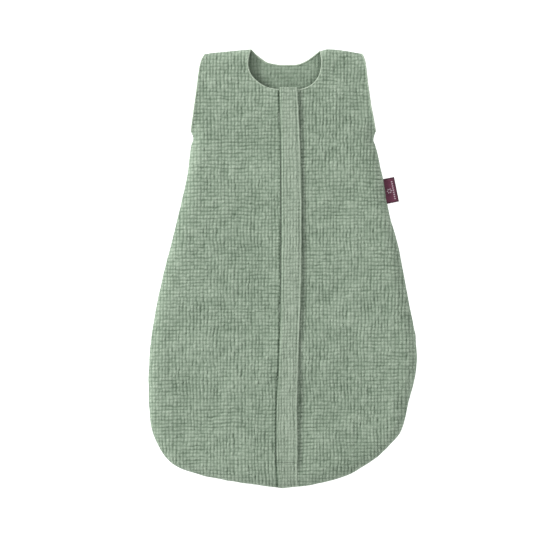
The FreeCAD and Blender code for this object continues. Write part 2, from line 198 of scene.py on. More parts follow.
@dataclass
class Crinkle:
    """The puffs of double gauze: rounded squares between narrow wandering grooves.

    Attributes:
        across: Pitch of the puffs across the bag, in millimetres.
        along: Pitch of the puffs along the bag, in millimetres.
        groove: Half width of a groove, in millimetres.
        wide_wander: How far a groove strays over a long stretch.
        fine_wander: How far it strays over a short one.
        lead: Width of the patches where one family of grooves leads.
        puff: Height of a puff.
        puff_mean: Mean height of the puffs as a share of the highest.
        soft: Layer of gentle dents.
        broad: Layer of wide waves.
        fine: Layer of small wrinkles.
        seed: Which pattern.
    """

    across: float = 5.4
    along: float = 5.7
    groove: float = 1.05
    wide_wander: float = 1.9
    fine_wander: float = 0.9
    lead: float = 42.0
    puff: float = 1.7
    puff_mean: float = 0.6
    soft: Layer = Layer(11, 0.5, 0.07)
    broad: Layer = Layer(46, 0.8, 0.04)
    fine: Layer = Layer(2.4, 0.16, 0.08)
    seed: int = 11

    def grooves(self, u: np.ndarray, v: np.ndarray, pitch: float, seed: int) -> tuple:
        """One family of grooves, each running along v.

        Args:
            u: Places across the grooves, in millimetres.
            v: Places along them.
            pitch: Distance between two grooves.
            seed: Which family.

        Returns:
            Depth of the groove at each place, the number of the space between two
            grooves it lies in, and its share of the way across that space.
        """
        wander = (self.wide_wander * value_noise(u / 1.6, v / 2.8, 16, seed)
                  + self.fine_wander * value_noise(u, v / 1.2, 6, seed + 1))
        phase = (u + wander) / pitch
        space = np.floor(phase).astype(int)
        share = phase - space
        line = np.where(share < 0.5, space, space + 1)
        strength = (0.66 + 0.42 * value_noise(line * 31.7, v, 6.5, seed + 2)
                    + 0.2 * value_noise(line * 17.1, v, 24, seed + 3))
        width = self.groove * (0.85 + 0.35 * value_noise(line * 13.3, v, 14, seed + 4))
        gap = np.abs(phase - line) * pitch
        return np.exp(-(gap / width) ** 2) * np.clip(strength, 0.08, 1.1), space, share

    def cells(self, x: np.ndarray, y: np.ndarray) -> tuple:
        """Height of the puffs, 0 in a groove and 1 on top, and a value for each cell.

        Args:
            x: Places across, in millimetres.
            y: Places along, in millimetres.

        Returns:
            The heights, and each place's cell value between 0 and 1.
        """
        down, column, over = self.grooves(x, y, self.across, self.seed)
        sideways, row, up = self.grooves(y, x, self.along, self.seed + 20)
        lead = smooth_step(0.5 + 0.75 * value_noise(x, y, self.lead, self.seed + 40))
        groove = 1 - (1 - np.clip(down * (0.74 + 0.42 * lead), 0, 1)) * (
            1 - np.clip(sideways * (1.0 - 0.46 * lead), 0, 1))
        worth = np.random.default_rng(self.seed).uniform(0, 1, (512, 512))[column % 512, row % 512]
        dome = 16 * over * (1 - over) * up * (1 - up)
        return (1 - groove) * (0.72 + 0.28 * dome), worth

    def relief(self, x: np.ndarray, y: np.ndarray) -> tuple:
        """Height of the cloth's surface and its tone: painted shade in the grooves and painted highlight on
        the crowns, with a random tone for each cell.

        Args:
            x: Places across, in millimetres.
            y: Places along, in millimetres.

        Returns:
            Heights in millimetres about the mean, and tones between 0 and 1.
        """
        puff, value = self.cells(x, y)
        half_pitch = self.broad.pitch / 2
        soft = value_noise(x, y, self.soft.pitch, self.seed + 5)
        broad = (value_noise(x, y, self.broad.pitch, self.seed + 6)
                 + 0.5 * value_noise(x, y, half_pitch, self.seed + 7))
        fine = value_noise(x, y, self.fine.pitch, self.seed + 8)
        height = self.puff * (puff - self.puff_mean) * (0.6 + 0.7 * value)
        # Painted shade in the grooves and painted highlight on the crowns; the cell value adds random tone.
        tone = 0.12 + 0.62 * puff + 0.16 * value
        # Each layer paints highlight on its crests and shade in its hollows.
        for layer, noise in ((self.soft, soft), (self.broad, broad), (self.fine, fine)):
            height = height + layer.height * noise
            tone = tone + layer.tone * noise
        return height, np.clip(tone, 0, 1)


# ------------------------------------------------------------------ pattern

@dataclass
class Pattern:
    """The cut of the bag, in millimetres from its middle.

    The front's runs go from the neck or the shoulder downwards, the back's neck from left to right.

    Attributes:
        left_shoulder: Chosen points of the left shoulder seam.
        right_shoulder: Chosen points of the right shoulder seam.
        left_armhole: Chosen points of the left armhole.
        right_armhole: Chosen points of the right armhole.
        left_side: Chosen points of the left side seam and hem.
        right_side: Chosen points of the right side seam and hem.
        left_neck: Chosen points of the left half of the front's neck.
        right_neck: Chosen points of its right half.
        back_neck: Chosen points of the back's neck.
        uneven: How far the sewn edge strays from the cut.
        wide_pitch: Pitch of its wide waves.
        fine_pitch: Pitch of its fine waves.
        seed: Which unevenness.
    """

    left_shoulder: list = field(default_factory=lambda: [(-51, 349), (-88, 346), (-123, 342)])
    right_shoulder: list = field(default_factory=lambda: [(61, 347), (76, 349.5), (125, 343)])
    left_armhole: list = field(default_factory=lambda: [
        (-123, 342), (-130, 323), (-135.5, 280), (-139.5, 252), (-144.5, 217)])
    right_armhole: list = field(default_factory=lambda: [
        (125, 343), (131, 323), (136.5, 277), (141, 250), (147.5, 217)])
    left_side: list = field(default_factory=lambda: [
        (-144.5, 217), (-142, 206), (-146, 192), (-153, 141), (-165, 90), (-177, 40), (-190, -11),
        (-201, -62), (-209, -113), (-213, -165), (-211.5, -228), (-204, -266), (-182, -304),
        (-150, -321), (-95, -335), (0, -349)])
    right_side: list = field(default_factory=lambda: [
        (147.5, 217), (144.5, 205), (149, 192), (160, 141), (169, 90), (183, 40), (193, -11),
        (203, -62), (212, -113), (213, -158), (203, -202), (190, -253), (172, -278),
        (144, -304), (102, -328), (52, -342), (0, -349)])
    left_neck: list = field(default_factory=lambda: [
        (-51, 349), (-55, 332), (-55, 319), (-50, 306), (-40, 296), (-27, 288), (-14, 284), (-4, 282.5)])
    right_neck: list = field(default_factory=lambda: [
        (61, 347), (62, 332), (61.5, 319), (58, 305), (49, 293), (37, 286), (22, 282.5), (4, 281)])
    back_neck: list = field(default_factory=lambda: [
        (-51, 349), (-41, 339), (-25, 328), (-8, 324), (18, 324), (34, 327), (50, 338), (61, 347)])
    uneven: float = 0.5
    wide_pitch: float = 27.0
    fine_pitch: float = 12.0
    seed: int = 91

    def line(self, name: str, step: float = 3.0) -> np.ndarray:
        """One run of the cut as the sewn cloth holds it, a little uneven.

        Args:
            name: The run's name.
            step: Distance between its points.

        Returns:
            The run's points.
        """
        run = smooth_run(getattr(self, name), step)
        x, y = run.T
        strays = [value_noise(x, y, self.fine_pitch, self.seed + axis)
                  + 0.7 * value_noise(x, y, self.wide_pitch, self.seed + 2 + axis) for axis in (0, 1)]
        return run + self.uneven * np.stack(strays, 1)

    def back_loop(self) -> np.ndarray:
        """Closed outline of the back.

        Returns:
            The outline's points.
        """
        right = [self.line(name) for name in ("back_neck", "right_shoulder", "right_armhole", "right_side")]
        left = [self.line(name)[::-1] for name in ("left_side", "left_armhole", "left_shoulder")]
        return np.vstack([run[:-1] for run in right + left])

    def front_loop(self, side: str, middle: float) -> np.ndarray:
        """Closed outline of one front.

        Args:
            side: "left" or "right".
            middle: Where the front ends beside the zip, from the middle line.

        Returns:
            The outline's points.
        """
        runs = [self.line(f"{side}_{name}") for name in ("shoulder", "armhole", "side", "neck")]
        shoulder, armhole, seam, neck = runs
        low = np.array([[middle, seam[-1][1]], [middle, neck[-1][1]]])
        return np.vstack([shoulder[:-1], armhole[:-1], seam[:-1], low, neck[::-1][1:-1]])


def box_mm(node: str) -> tuple:
    """Lower and upper corner of a node's box, in millimetres."""
    return tuple(np.array(corner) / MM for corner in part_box(node))


def box_outline(low: tuple, high: tuple) -> list:
    """The four corners of a box seen from above."""
    return [(low[0], low[1]), (high[0], low[1]), (high[0], high[1]), (low[0], high[1])]


PATTERN = Pattern()
CRINKLE = Crinkle()
JOINTS = {joint["name"]: joint for joint in frame["record"]["behaviour"]["joints"]}
SEAM_OVER_BACK = 1.0
CLOTH_OVER_FLAP = 0.2
LOW_CUT = box_mm("flap_left_outer")[0][1]
SEAM_LEVEL = box_mm("back_outer")[1][2] + SEAM_OVER_BACK
CLOTH_LEVEL = box_mm("flap_left_outer")[1][2] + CLOTH_OVER_FLAP
PLACKET_LEVEL = box_mm("placket_outer")[1][2]
CLOTH_EASE = 1.15


# ------------------------------------------------------------------- meshes

@dataclass
class ClothMesh:
    """A cloth surface.

    Attributes:
        points: Its points, in millimetres.
        faces: Its faces as rows of four indices.
        tone: How light each point is, from 0 to 1.
    """

    points: np.ndarray
    faces: np.ndarray
    tone: np.ndarray

    def to_object(self, name: str, finish: "Finish", smooth: bool = True) -> bpy.types.Object:
        """Make the Blender object.

        Args:
            name: Name of the piece.
            finish: What it is dressed with.
            smooth: Whether its faces are shaded smoothly.

        Returns:
            The new object, linked to the scene.
        """
        mesh = bpy.data.meshes.new(name)
        count, sides = self.faces.shape
        mesh.vertices.add(len(self.points))
        mesh.vertices.foreach_set("co", (self.points * MM).astype(np.float32).ravel())
        mesh.loops.add(count * sides)
        mesh.loops.foreach_set("vertex_index", self.faces.astype(np.int32).ravel())
        mesh.polygons.add(count)
        mesh.polygons.foreach_set("loop_start", np.arange(count, dtype=np.int32) * sides)
        mesh.polygons.foreach_set("use_smooth", np.full(count, smooth))
        mesh.update(calc_edges=True)
        mesh.validate()
        layer = mesh.attributes.new("tone", "FLOAT", "POINT")
        layer.data.foreach_set("value", self.tone.astype(np.float32))
        piece = bpy.data.objects.new(name, mesh)
        bpy.context.scene.collection.objects.link(piece)
        piece.data.materials.append(finish.material())
        return piece


def clip_loop(loop: np.ndarray, height: float, above: bool) -> np.ndarray:
    """The part of a loop on one side of a line across the bag.

    Args:
        loop: The closed outline.
        height: Where the line is, on Y.
        above: Whether the part towards the neck is kept.

    Returns:
        The new closed outline.
    """
    kept = []
    sign = 1 if above else -1
    for here, after in zip(loop, np.roll(loop, -1, 0)):
        in_here, in_after = sign * (here[1] - height) >= 0, sign * (after[1] - height) >= 0
        if in_here:
            kept.append(here)
        if in_here != in_after:
            share = (height - here[1]) / (after[1] - here[1])
            kept.append(here + (after - here) * share)
    return np.array(kept)


def rim_of(grid: np.ndarray) -> np.ndarray:
    """Cells of a grid that touch a cell of the other kind, even by a corner.

    Args:
        grid: True or false for each cell.

    Returns:
        True for each cell on the rim.
    """
    rim = np.zeros_like(grid)
    for axis in (0, 1):
        for step in (-1, 1):
            beside = np.roll(grid, step, axis)
            rim |= beside != grid
            for turn in (-1, 1):
                rim |= np.roll(beside, turn, 1 - axis) != grid
    return rim


def fill_loop(loop: np.ndarray, spacing: float) -> tuple:
    """A regular mesh over an outline, its rim moved onto the outline.

    Args:
        loop: The closed outline.
        spacing: Distance between mesh points.

    Returns:
        The points, and the faces as rows of four indices.
    """
    low = np.floor(loop.min(0) / spacing) - 1
    high = np.ceil(loop.max(0) / spacing) + 1
    nx, ny = (high - low).astype(int) + 1
    gx, gy = np.meshgrid(np.arange(nx) + low[0], np.arange(ny) + low[1], indexing="ij")
    places = np.stack([gx.ravel(), gy.ravel()], 1) * spacing
    within = inside(loop, places)
    rim = rim_of(within.reshape(nx, ny)).ravel()
    distance, foot = nearest_on(np.vstack([loop, loop[:1]]), places[rim])
    signed = np.where(within, FAR, -FAR)
    signed[rim] = np.where(within[rim], distance, -distance)
    reach = 0.55 * spacing
    usable = (signed > -reach).reshape(nx, ny)
    close = distance < reach
    places[np.flatnonzero(rim)[close]] = foot[close]
    index = np.arange(nx * ny).reshape(nx, ny)
    whole = usable[:-1, :-1] & usable[1:, :-1] & usable[1:, 1:] & usable[:-1, 1:]
    faces = np.stack([index[:-1, :-1][whole], index[1:, :-1][whole],
                      index[1:, 1:][whole], index[:-1, 1:][whole]], 1)
    used = np.unique(faces)
    renumber = np.zeros(nx * ny, int)
    renumber[used] = np.arange(len(used))
    return places[used], renumber[faces]


def tube_faces(rings: int, sides: int, closed: bool) -> np.ndarray:
    """Faces between the rings of a tube.

    Args:
        rings: How many rings it has.
        sides: How many points each ring has.
        closed: Whether the last ring joins the first.

    Returns:
        The faces as rows of four indices.
    """
    faces = []
    for ring in range(rings if closed else rings - 1):
        here, there = ring * sides, (ring + 1) % rings * sides
        for side in range(sides):
            after = (side + 1) % sides
            faces.append((here + side, here + after, there + after, there + side))
    return np.array(faces)


def tube(line: np.ndarray, radius: float, sides: int = 8, squeeze: float = 1.0) -> tuple:
    """A round tube along a line, drawn in at both ends.

    Args:
        line: Points in three dimensions.
        radius: The tube's radius.
        sides: How many sides its section has.
        squeeze: Height of the section as a share of its width.

    Returns:
        The points, and the faces as rows of four indices.
    """
    along = np.gradient(line, axis=0)
    along /= np.linalg.norm(along, axis=1)[:, None]
    across = np.cross(along, [0, 0, 1])
    across /= np.maximum(np.linalg.norm(across, axis=1)[:, None], 1e-9)
    up = np.cross(across, along)
    turn = np.linspace(0, 2 * np.pi, sides, endpoint=False)
    end_swell = 0.15
    swell = np.ones(len(line))
    swell[[0, -1]] = end_swell
    ring = (np.cos(turn)[None, :, None] * across[:, None]
            + squeeze * np.sin(turn)[None, :, None] * up[:, None])
    points = (line[:, None] + ring * (radius * swell)[:, None, None]).reshape(-1, 3)
    return points, tube_faces(len(line), sides, closed=False)


def flat_shell(top: np.ndarray, under: np.ndarray, tones: tuple, closed: bool = True) -> ClothMesh:
    """A flat strip from its top and its underside, closed at both ends and down its last edge.

    Args:
        top: Points of the top, by row along the strip and column across it.
        under: Points of the underside, in the same order.
        tones: Tones of the top and of the underside.
        closed: Whether its first edge is closed too.

    Returns:
        The strip's surface.
    """
    ring = np.concatenate([top, under[:, ::-1]], 1)
    rows, around = ring.shape[:2]
    index = np.arange(rows * around).reshape(rows, around)
    after = np.roll(index, -1, 1)
    if not closed:
        index, after = index[:, :-1], after[:, :-1]
    faces = np.stack([index[:-1], after[:-1], after[1:], index[1:]], -1).reshape(-1, 4)
    columns = np.arange(around // 2 - 1)
    end = np.stack([columns, columns + 1, around - 2 - columns, around - 1 - columns], 1)
    faces = np.vstack([faces, end[:, ::-1], end + (rows - 1) * around])
    tone = np.concatenate([tones[0], tones[1][:, ::-1]], 1)
    return ClothMesh(ring.reshape(-1, 3), faces, tone.ravel())


def plan_area(mesh: ClothMesh) -> float:
    """Area that a surface covers seen from above.

    Args:
        mesh: The surface.

    Returns:
        Its area in square metres.
    """
    corners = mesh.points[mesh.faces]
    x, y = corners[..., 0], corners[..., 1]
    twice = sum(x[:, i] * y[:, (i + 1) % 4] - x[:, (i + 1) % 4] * y[:, i] for i in range(4))
    return float(np.abs(twice).sum() / 2) * MM * MM


# ----------------------------------------------------------------- finishes

class Weave(Enum):
    """How a cloth's threads cross."""

    GAUZE = "gauze"
    SATIN = "satin"
    TAPE = "tape"


GRAINS = 420.0
GRAIN_DETAIL = 3.0
GRAIN_TONE = 0.22
BUMP_STRENGTH = 0.8
WAVES_PER_SCALE = 6.28
THREAD_BEND = 1.4


def to_linear(colour: tuple) -> tuple:
    """A display colour as a linear colour with alpha."""
    parts = [part / 255 for part in colour]
    return tuple(p / 12.92 if p <= 0.04045 else ((p + 0.055) / 1.055) ** 2.4 for p in parts) + (1.0,)


@dataclass(frozen=True)
class Finish:
    """A surface: its colours from groove to crown, which paint shade in the grooves and highlight on the
    crowns, and its threads.

    Attributes:
        name: The finish's name.
        dark: Colour in the grooves, with painted shade, 0 to 255.
        middle: Colour between them.
        light: Colour on the crowns, with painted highlight.
        weave: How the threads cross, or None on a hard surface.
        rough: Roughness.
        sheen: Sheen weight.
        thread: Threads per metre.
        relief: Height of the threads in metres.
    """

    name: str
    dark: tuple
    middle: tuple
    light: tuple
    weave: Weave | None = Weave.GAUZE
    rough: float = 0.95
    sheen: float = 0.15
    thread: float = 1500.0
    relief: float = 0.00022

    def material(self) -> bpy.types.Material:
        """The finish's material, made once."""
        found = bpy.data.materials.get(self.name)
        return found or self._make()

    def _make(self) -> bpy.types.Material:
        """Build the material's nodes.

        Returns:
            The new material.
        """
        material = bpy.data.materials.new(self.name)
        material.use_nodes = True
        nodes, links = material.node_tree.nodes, material.node_tree.links
        shader = nodes["Principled BSDF"]
        shader.inputs["Roughness"].default_value = self.rough
        shader.inputs["Sheen Weight"].default_value = self.sheen
        tone = nodes.new("ShaderNodeAttribute")
        tone.attribute_name = "tone"
        place = nodes.new("ShaderNodeTexCoord")
        grain = nodes.new("ShaderNodeTexNoise")
        grain.inputs["Scale"].default_value = GRAINS
        grain.inputs["Detail"].default_value = GRAIN_DETAIL
        links.new(place.outputs["Object"], grain.inputs["Vector"])
        mixed = nodes.new("ShaderNodeMath")
        mixed.operation = "MULTIPLY_ADD"
        mixed.inputs[1].default_value = GRAIN_TONE
        links.new(grain.outputs["Fac"], mixed.inputs[0])
        shifted = nodes.new("ShaderNodeMath")
        shifted.operation = "SUBTRACT"
        shifted.inputs[1].default_value = GRAIN_TONE / 2
        links.new(tone.outputs["Fac"], shifted.inputs[0])
        links.new(shifted.outputs[0], mixed.inputs[2])
        # The ramp turns the tone into painted shade in the grooves and painted highlight on the crowns.
        ramp = nodes.new("ShaderNodeValToRGB")
        ramp.color_ramp.elements[0].color = to_linear(self.dark)
        ramp.color_ramp.elements[1].color = to_linear(self.light)
        middle = ramp.color_ramp.elements.new(0.5)
        middle.color = to_linear(self.middle)
        links.new(mixed.outputs[0], ramp.inputs["Fac"])
        links.new(ramp.outputs["Color"], shader.inputs["Base Color"])
        self._add_threads(nodes, links, place, shader)
        return material

    def _add_threads(self, nodes: bpy.types.Nodes, links: bpy.types.NodeLinks,
                     place: bpy.types.Node, shader: bpy.types.Node) -> None:
        """Add the threads' bump.

        Args:
            nodes: The material's nodes.
            links: The material's links.
            place: The texture coordinate node.
            shader: The shader that takes the bump.
        """
        bump = nodes.new("ShaderNodeBump")
        bump.inputs["Distance"].default_value = self.relief
        bump.inputs["Strength"].default_value = BUMP_STRENGTH
        if self.weave is None:
            grain = nodes.new("ShaderNodeTexNoise")
            grain.inputs["Scale"].default_value = self.thread
            links.new(place.outputs["Object"], grain.inputs["Vector"])
            links.new(grain.outputs["Fac"], bump.inputs["Height"])
        else:
            total = nodes.new("ShaderNodeMath")
            total.operation = "ADD" if self.weave is Weave.GAUZE else "MAXIMUM"
            for slot_index, axis in enumerate("XY"):
                wave = nodes.new("ShaderNodeTexWave")
                wave.bands_direction = axis
                wave.inputs["Scale"].default_value = self.thread / WAVES_PER_SCALE
                wave.inputs["Distortion"].default_value = THREAD_BEND
                wave.inputs["Detail"].default_value = 1.0
                links.new(place.outputs["Object"], wave.inputs["Vector"])
                links.new(wave.outputs["Fac"], total.inputs[slot_index])
            links.new(total.outputs[0], bump.inputs["Height"])
        links.new(bump.outputs["Normal"], shader.inputs["Normal"])


SAGE = Finish("sage_gauze", (76, 97, 76), (144, 163, 142), (190, 207, 186))
# A lighter copy of the same gauze: painted highlight on the raised placket.
SAGE_LIT_PLACKET = Finish("sage_gauze_lit_placket", (92, 112, 91), (156, 173, 153), (200, 215, 195))
# A darker copy of the same gauze: painted shade inside the bag.
SAGE_SHADED_INSIDE = Finish("sage_gauze_shaded_inside", (88, 108, 87), (142, 161, 140), (172, 190, 169))
# A lighter copy of the same gauze: painted highlight on the turned edges.
SAGE_LIT_EDGE = Finish("sage_lit_turned_edge", (132, 151, 130), (174, 191, 170), (200, 215, 195))
SAGE_TAPE = Finish("sage_zip_tape", (112, 128, 110), (132, 149, 130), (150, 166, 147),
                   weave=Weave.TAPE, rough=0.7, thread=2200.0)
SAGE_PLASTIC = Finish("sage_zip_plastic", (120, 138, 118), (140, 157, 137), (158, 174, 155),
                      weave=None, rough=0.38, sheen=0.0, thread=2600.0, relief=0.00003)
SLIDER_PAINT = Finish("slider_paint", (120, 136, 118), (138, 154, 135), (156, 170, 152),
                      weave=None, rough=0.32, sheen=0.0, thread=1800.0, relief=0.00002)
BURGUNDY = Finish("burgundy_satin", (66, 22, 42), (106, 38, 68), (124, 56, 86),
                  weave=Weave.SATIN, rough=0.55, sheen=0.3, thread=3000.0, relief=0.00008)
PALE_THREAD = Finish("pale_thread", (170, 142, 156), (200, 176, 188), (212, 194, 203),
                     weave=Weave.SATIN, rough=0.6, thread=3000.0, relief=0.00006)
WHITE_SATIN = Finish("white_satin", (214, 212, 206), (232, 230, 225), (242, 241, 238),
                     weave=Weave.SATIN, rough=0.5, sheen=0.3, thread=3000.0, relief=0.00005)


# ------------------------------------------------------------------- levels

EDGE_ROLL = 27.0
EDGE_ROUNDNESS = 2.2
SEAM_FLAT = 5.0
# Share of the tone kept right at the side and shoulder seams: painted shade where the cloth rolls down to
# them.
SEAM_SHADE = 0.75


def front_level(places: np.ndarray, side: str, puffed: float = 1.0) -> tuple:
    """Height and tone of a front's outer surface.

    Args:
        places: Points seen from above, in millimetres.
        side: "left" or "right".
        puffed: Share of the crinkle that shows.

    Returns:
        The heights in millimetres, and the tones.
    """
    gap = np.full(len(places), FAR)
    for name in ("side", "shoulder"):
        line = PATTERN.line(f"{side}_{name}")
        gap = np.minimum(gap, nearest_on(line, places)[0])
    share = np.clip(gap / EDGE_ROLL, 0, 1)
    rise = np.sqrt(np.clip(1 - (1 - share) ** EDGE_ROUNDNESS, 0, 1))
    height, tone = CRINKLE.relief(places[:, 0], places[:, 1])
    held = smooth_step(gap / SEAM_FLAT)
    level = SEAM_LEVEL + (CLOTH_LEVEL - SEAM_LEVEL) * rise + height * held * puffed
    # Painted shade along the side and shoulder seams.
    return level, tone * (SEAM_SHADE + (1 - SEAM_SHADE) * held)


def record_flat(loop: np.ndarray, mesh: ClothMesh, ease: float) -> tuple:
    """The cut size of a panel: the box round it, and its area with ease.

    Args:
        loop: Its outline.
        mesh: Its surface.
        ease: Cloth taken up by the crinkle, as a factor.

    Returns:
        Width and length in metres, and area in square metres.
    """
    width, length = np.ptp(loop, axis=0) * MM * math.sqrt(ease)
    return (float(width), float(length)), plan_area(mesh) * ease


# -------------------------------------------------------------- sub-assemblies

EDGE_STEP = 1.2
EDGE_SQUEEZE = 0.9
STITCH = 3.4
STITCH_PUCKER = 0.16
CLOTH_PUCKER = 0.22
PATCH_SPACING = 1.0


def attach(piece: bpy.types.Object, body: str, slot_name: str, *nodes: str) -> None:
    """Let a piece ride on a body, in place of the frame's nodes.

    Args:
        piece: The piece.
        body: The body that carries it.
        slot_name: Its slot; not used.
        nodes: The frame's nodes that it stands for.
    """
    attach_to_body(piece, body)
    if nodes:
        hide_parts(*nodes)


@dataclass
class Back:
    """The back panel: an inner and an outer surface sewn along their rim.

    Attributes:
        inner_spacing: Mesh spacing of the inside, in millimetres.
        outer_spacing: Mesh spacing of the underside.
        lining_level: Height of the inside's surface.
        under_level: Height of the underside's surface.
        under_puffed: Share of the crinkle that shows on the underside.
        lowest: Height that no point goes below.
        seam_flat: Width of the strip along the rim that its seam holds flat.
        shade: Width of the shaded strip under the front's neckline.
        relief_shift: Where in the crinkle the back is cut, so that it differs from the front.
        edge_radius: Radius of the turned edges.
        edge_drop: Depth of their middle below the inside's surface.
    """

    inner_spacing: float = 1.65
    outer_spacing: float = 3.0
    lining_level: float = 2.6
    under_level: float = 0.55
    under_puffed: float = 0.25
    lowest: float = 0.15
    seam_flat: float = 6.0
    shade: float = 6.0
    relief_shift: tuple = (40, -25)
    edge_radius: float = 1.3
    edge_drop: float = 0.4

    def rim_gap(self, points: np.ndarray) -> np.ndarray:
        """Distance of each point from the rim."""
        loop = PATTERN.back_loop()
        return nearest_on(np.vstack([loop, loop[:1]]), points)[0]

    def surface(self, spacing: float, level: float, puffed: float) -> ClothMesh:
        """One surface of the back.

        Args:
            spacing: Mesh spacing.
            level: Its height away from the rim.
            puffed: Share of the crinkle that shows.

        Returns:
            The surface.
        """
        points, faces = fill_loop(PATTERN.back_loop(), spacing)
        height, tone = CRINKLE.relief(*(points + self.relief_shift).T)
        held = smooth_step(self.rim_gap(points) / self.seam_flat)
        necks = [nearest_on(PATTERN.line(name), points)[0] for name in ("left_neck", "right_neck")]
        # Painted shade on the back under the front's neckline.
        tone = tone * (1 - 0.5 * np.exp(-(np.minimum(*necks) / self.shade) ** 2))
        z = SEAM_LEVEL + (level + puffed * height - SEAM_LEVEL) * held
        return ClothMesh(np.column_stack([points, np.maximum(z, self.lowest)]), faces, tone)

    def build(self) -> None:
        """Make both surfaces and the turned edges."""
        inner = self.surface(self.inner_spacing, self.lining_level, 1.0)
        outer = self.surface(self.outer_spacing, self.under_level, self.under_puffed)
        flat, area = record_flat(PATTERN.back_loop(), inner, CLOTH_EASE)
        inside_piece = inner.to_object("back_inside", SAGE_SHADED_INSIDE)
        outside_piece = outer.to_object("back_outside", SAGE)
        edges = [self.neck_edge(), *(self.armhole_edge(side) for side in ("left", "right"))]
        attach(inside_piece, "bag", "lining", "back_lining", "side_left_seam", "side_right_seam",
               "shoulder_left_seam", "shoulder_right_seam")
        attach(outside_piece, "bag", "outer", "back_outer")

    def edge_piece(self, name: str, line: np.ndarray, replaced: str) -> bpy.types.Object:
        """A turned edge of the back.

        Args:
            name: Name of the piece.
            line: Where it runs, seen from above.
            replaced: The frame's node that it stands for.

        Returns:
            The piece.
        """
        level = np.full(len(line), self.lining_level - self.edge_drop)
        piece = turned_edge(name, line, level, self.edge_radius)
        attach(piece, "bag", "binding", replaced)
        return piece

    def neck_edge(self) -> bpy.types.Object:
        """The turned edge of the back neckline."""
        line = PATTERN.line("back_neck", EDGE_STEP)
        return self.edge_piece("back_neck_edge", line, "neck_binding_back")

    def armhole_edge(self, side: str) -> bpy.types.Object:
        """The turned edge of one armhole on the back."""
        line = PATTERN.line(f"{side}_armhole", EDGE_STEP)
        return self.edge_piece(f"back_{side}_armhole_edge", line, f"armhole_back_{side}_binding")


def turned_edge(name: str, line: np.ndarray, level: np.ndarray, radius: float) -> bpy.types.Object:
    """A narrow edge of cloth turned under, puckered by its stitches.

    Args:
        name: Name of the piece.
        line: Where it runs, seen from above.
        level: Height of its middle at each point.
        radius: Its radius.

    Returns:
        The piece.
    """
    run = np.concatenate([[0], np.cumsum(np.hypot(*np.diff(line, axis=0).T))])
    pucker = (STITCH_PUCKER * np.sin(run * 2 * np.pi / STITCH)
              + CLOTH_PUCKER * value_noise(run, run * 0.3, 4.5, 31))
    path = np.column_stack([line, level + pucker])
    points, faces = tube(path, radius, squeeze=EDGE_SQUEEZE)
    sides = len(points) // len(line)
    # Painted highlight on the puckers' crests and painted shade in their dips.
    tone = np.repeat(0.72 + 0.8 * pucker, sides)
    return ClothMesh(points, faces, np.clip(tone, 0, 1)).to_object(name, SAGE_LIT_EDGE)


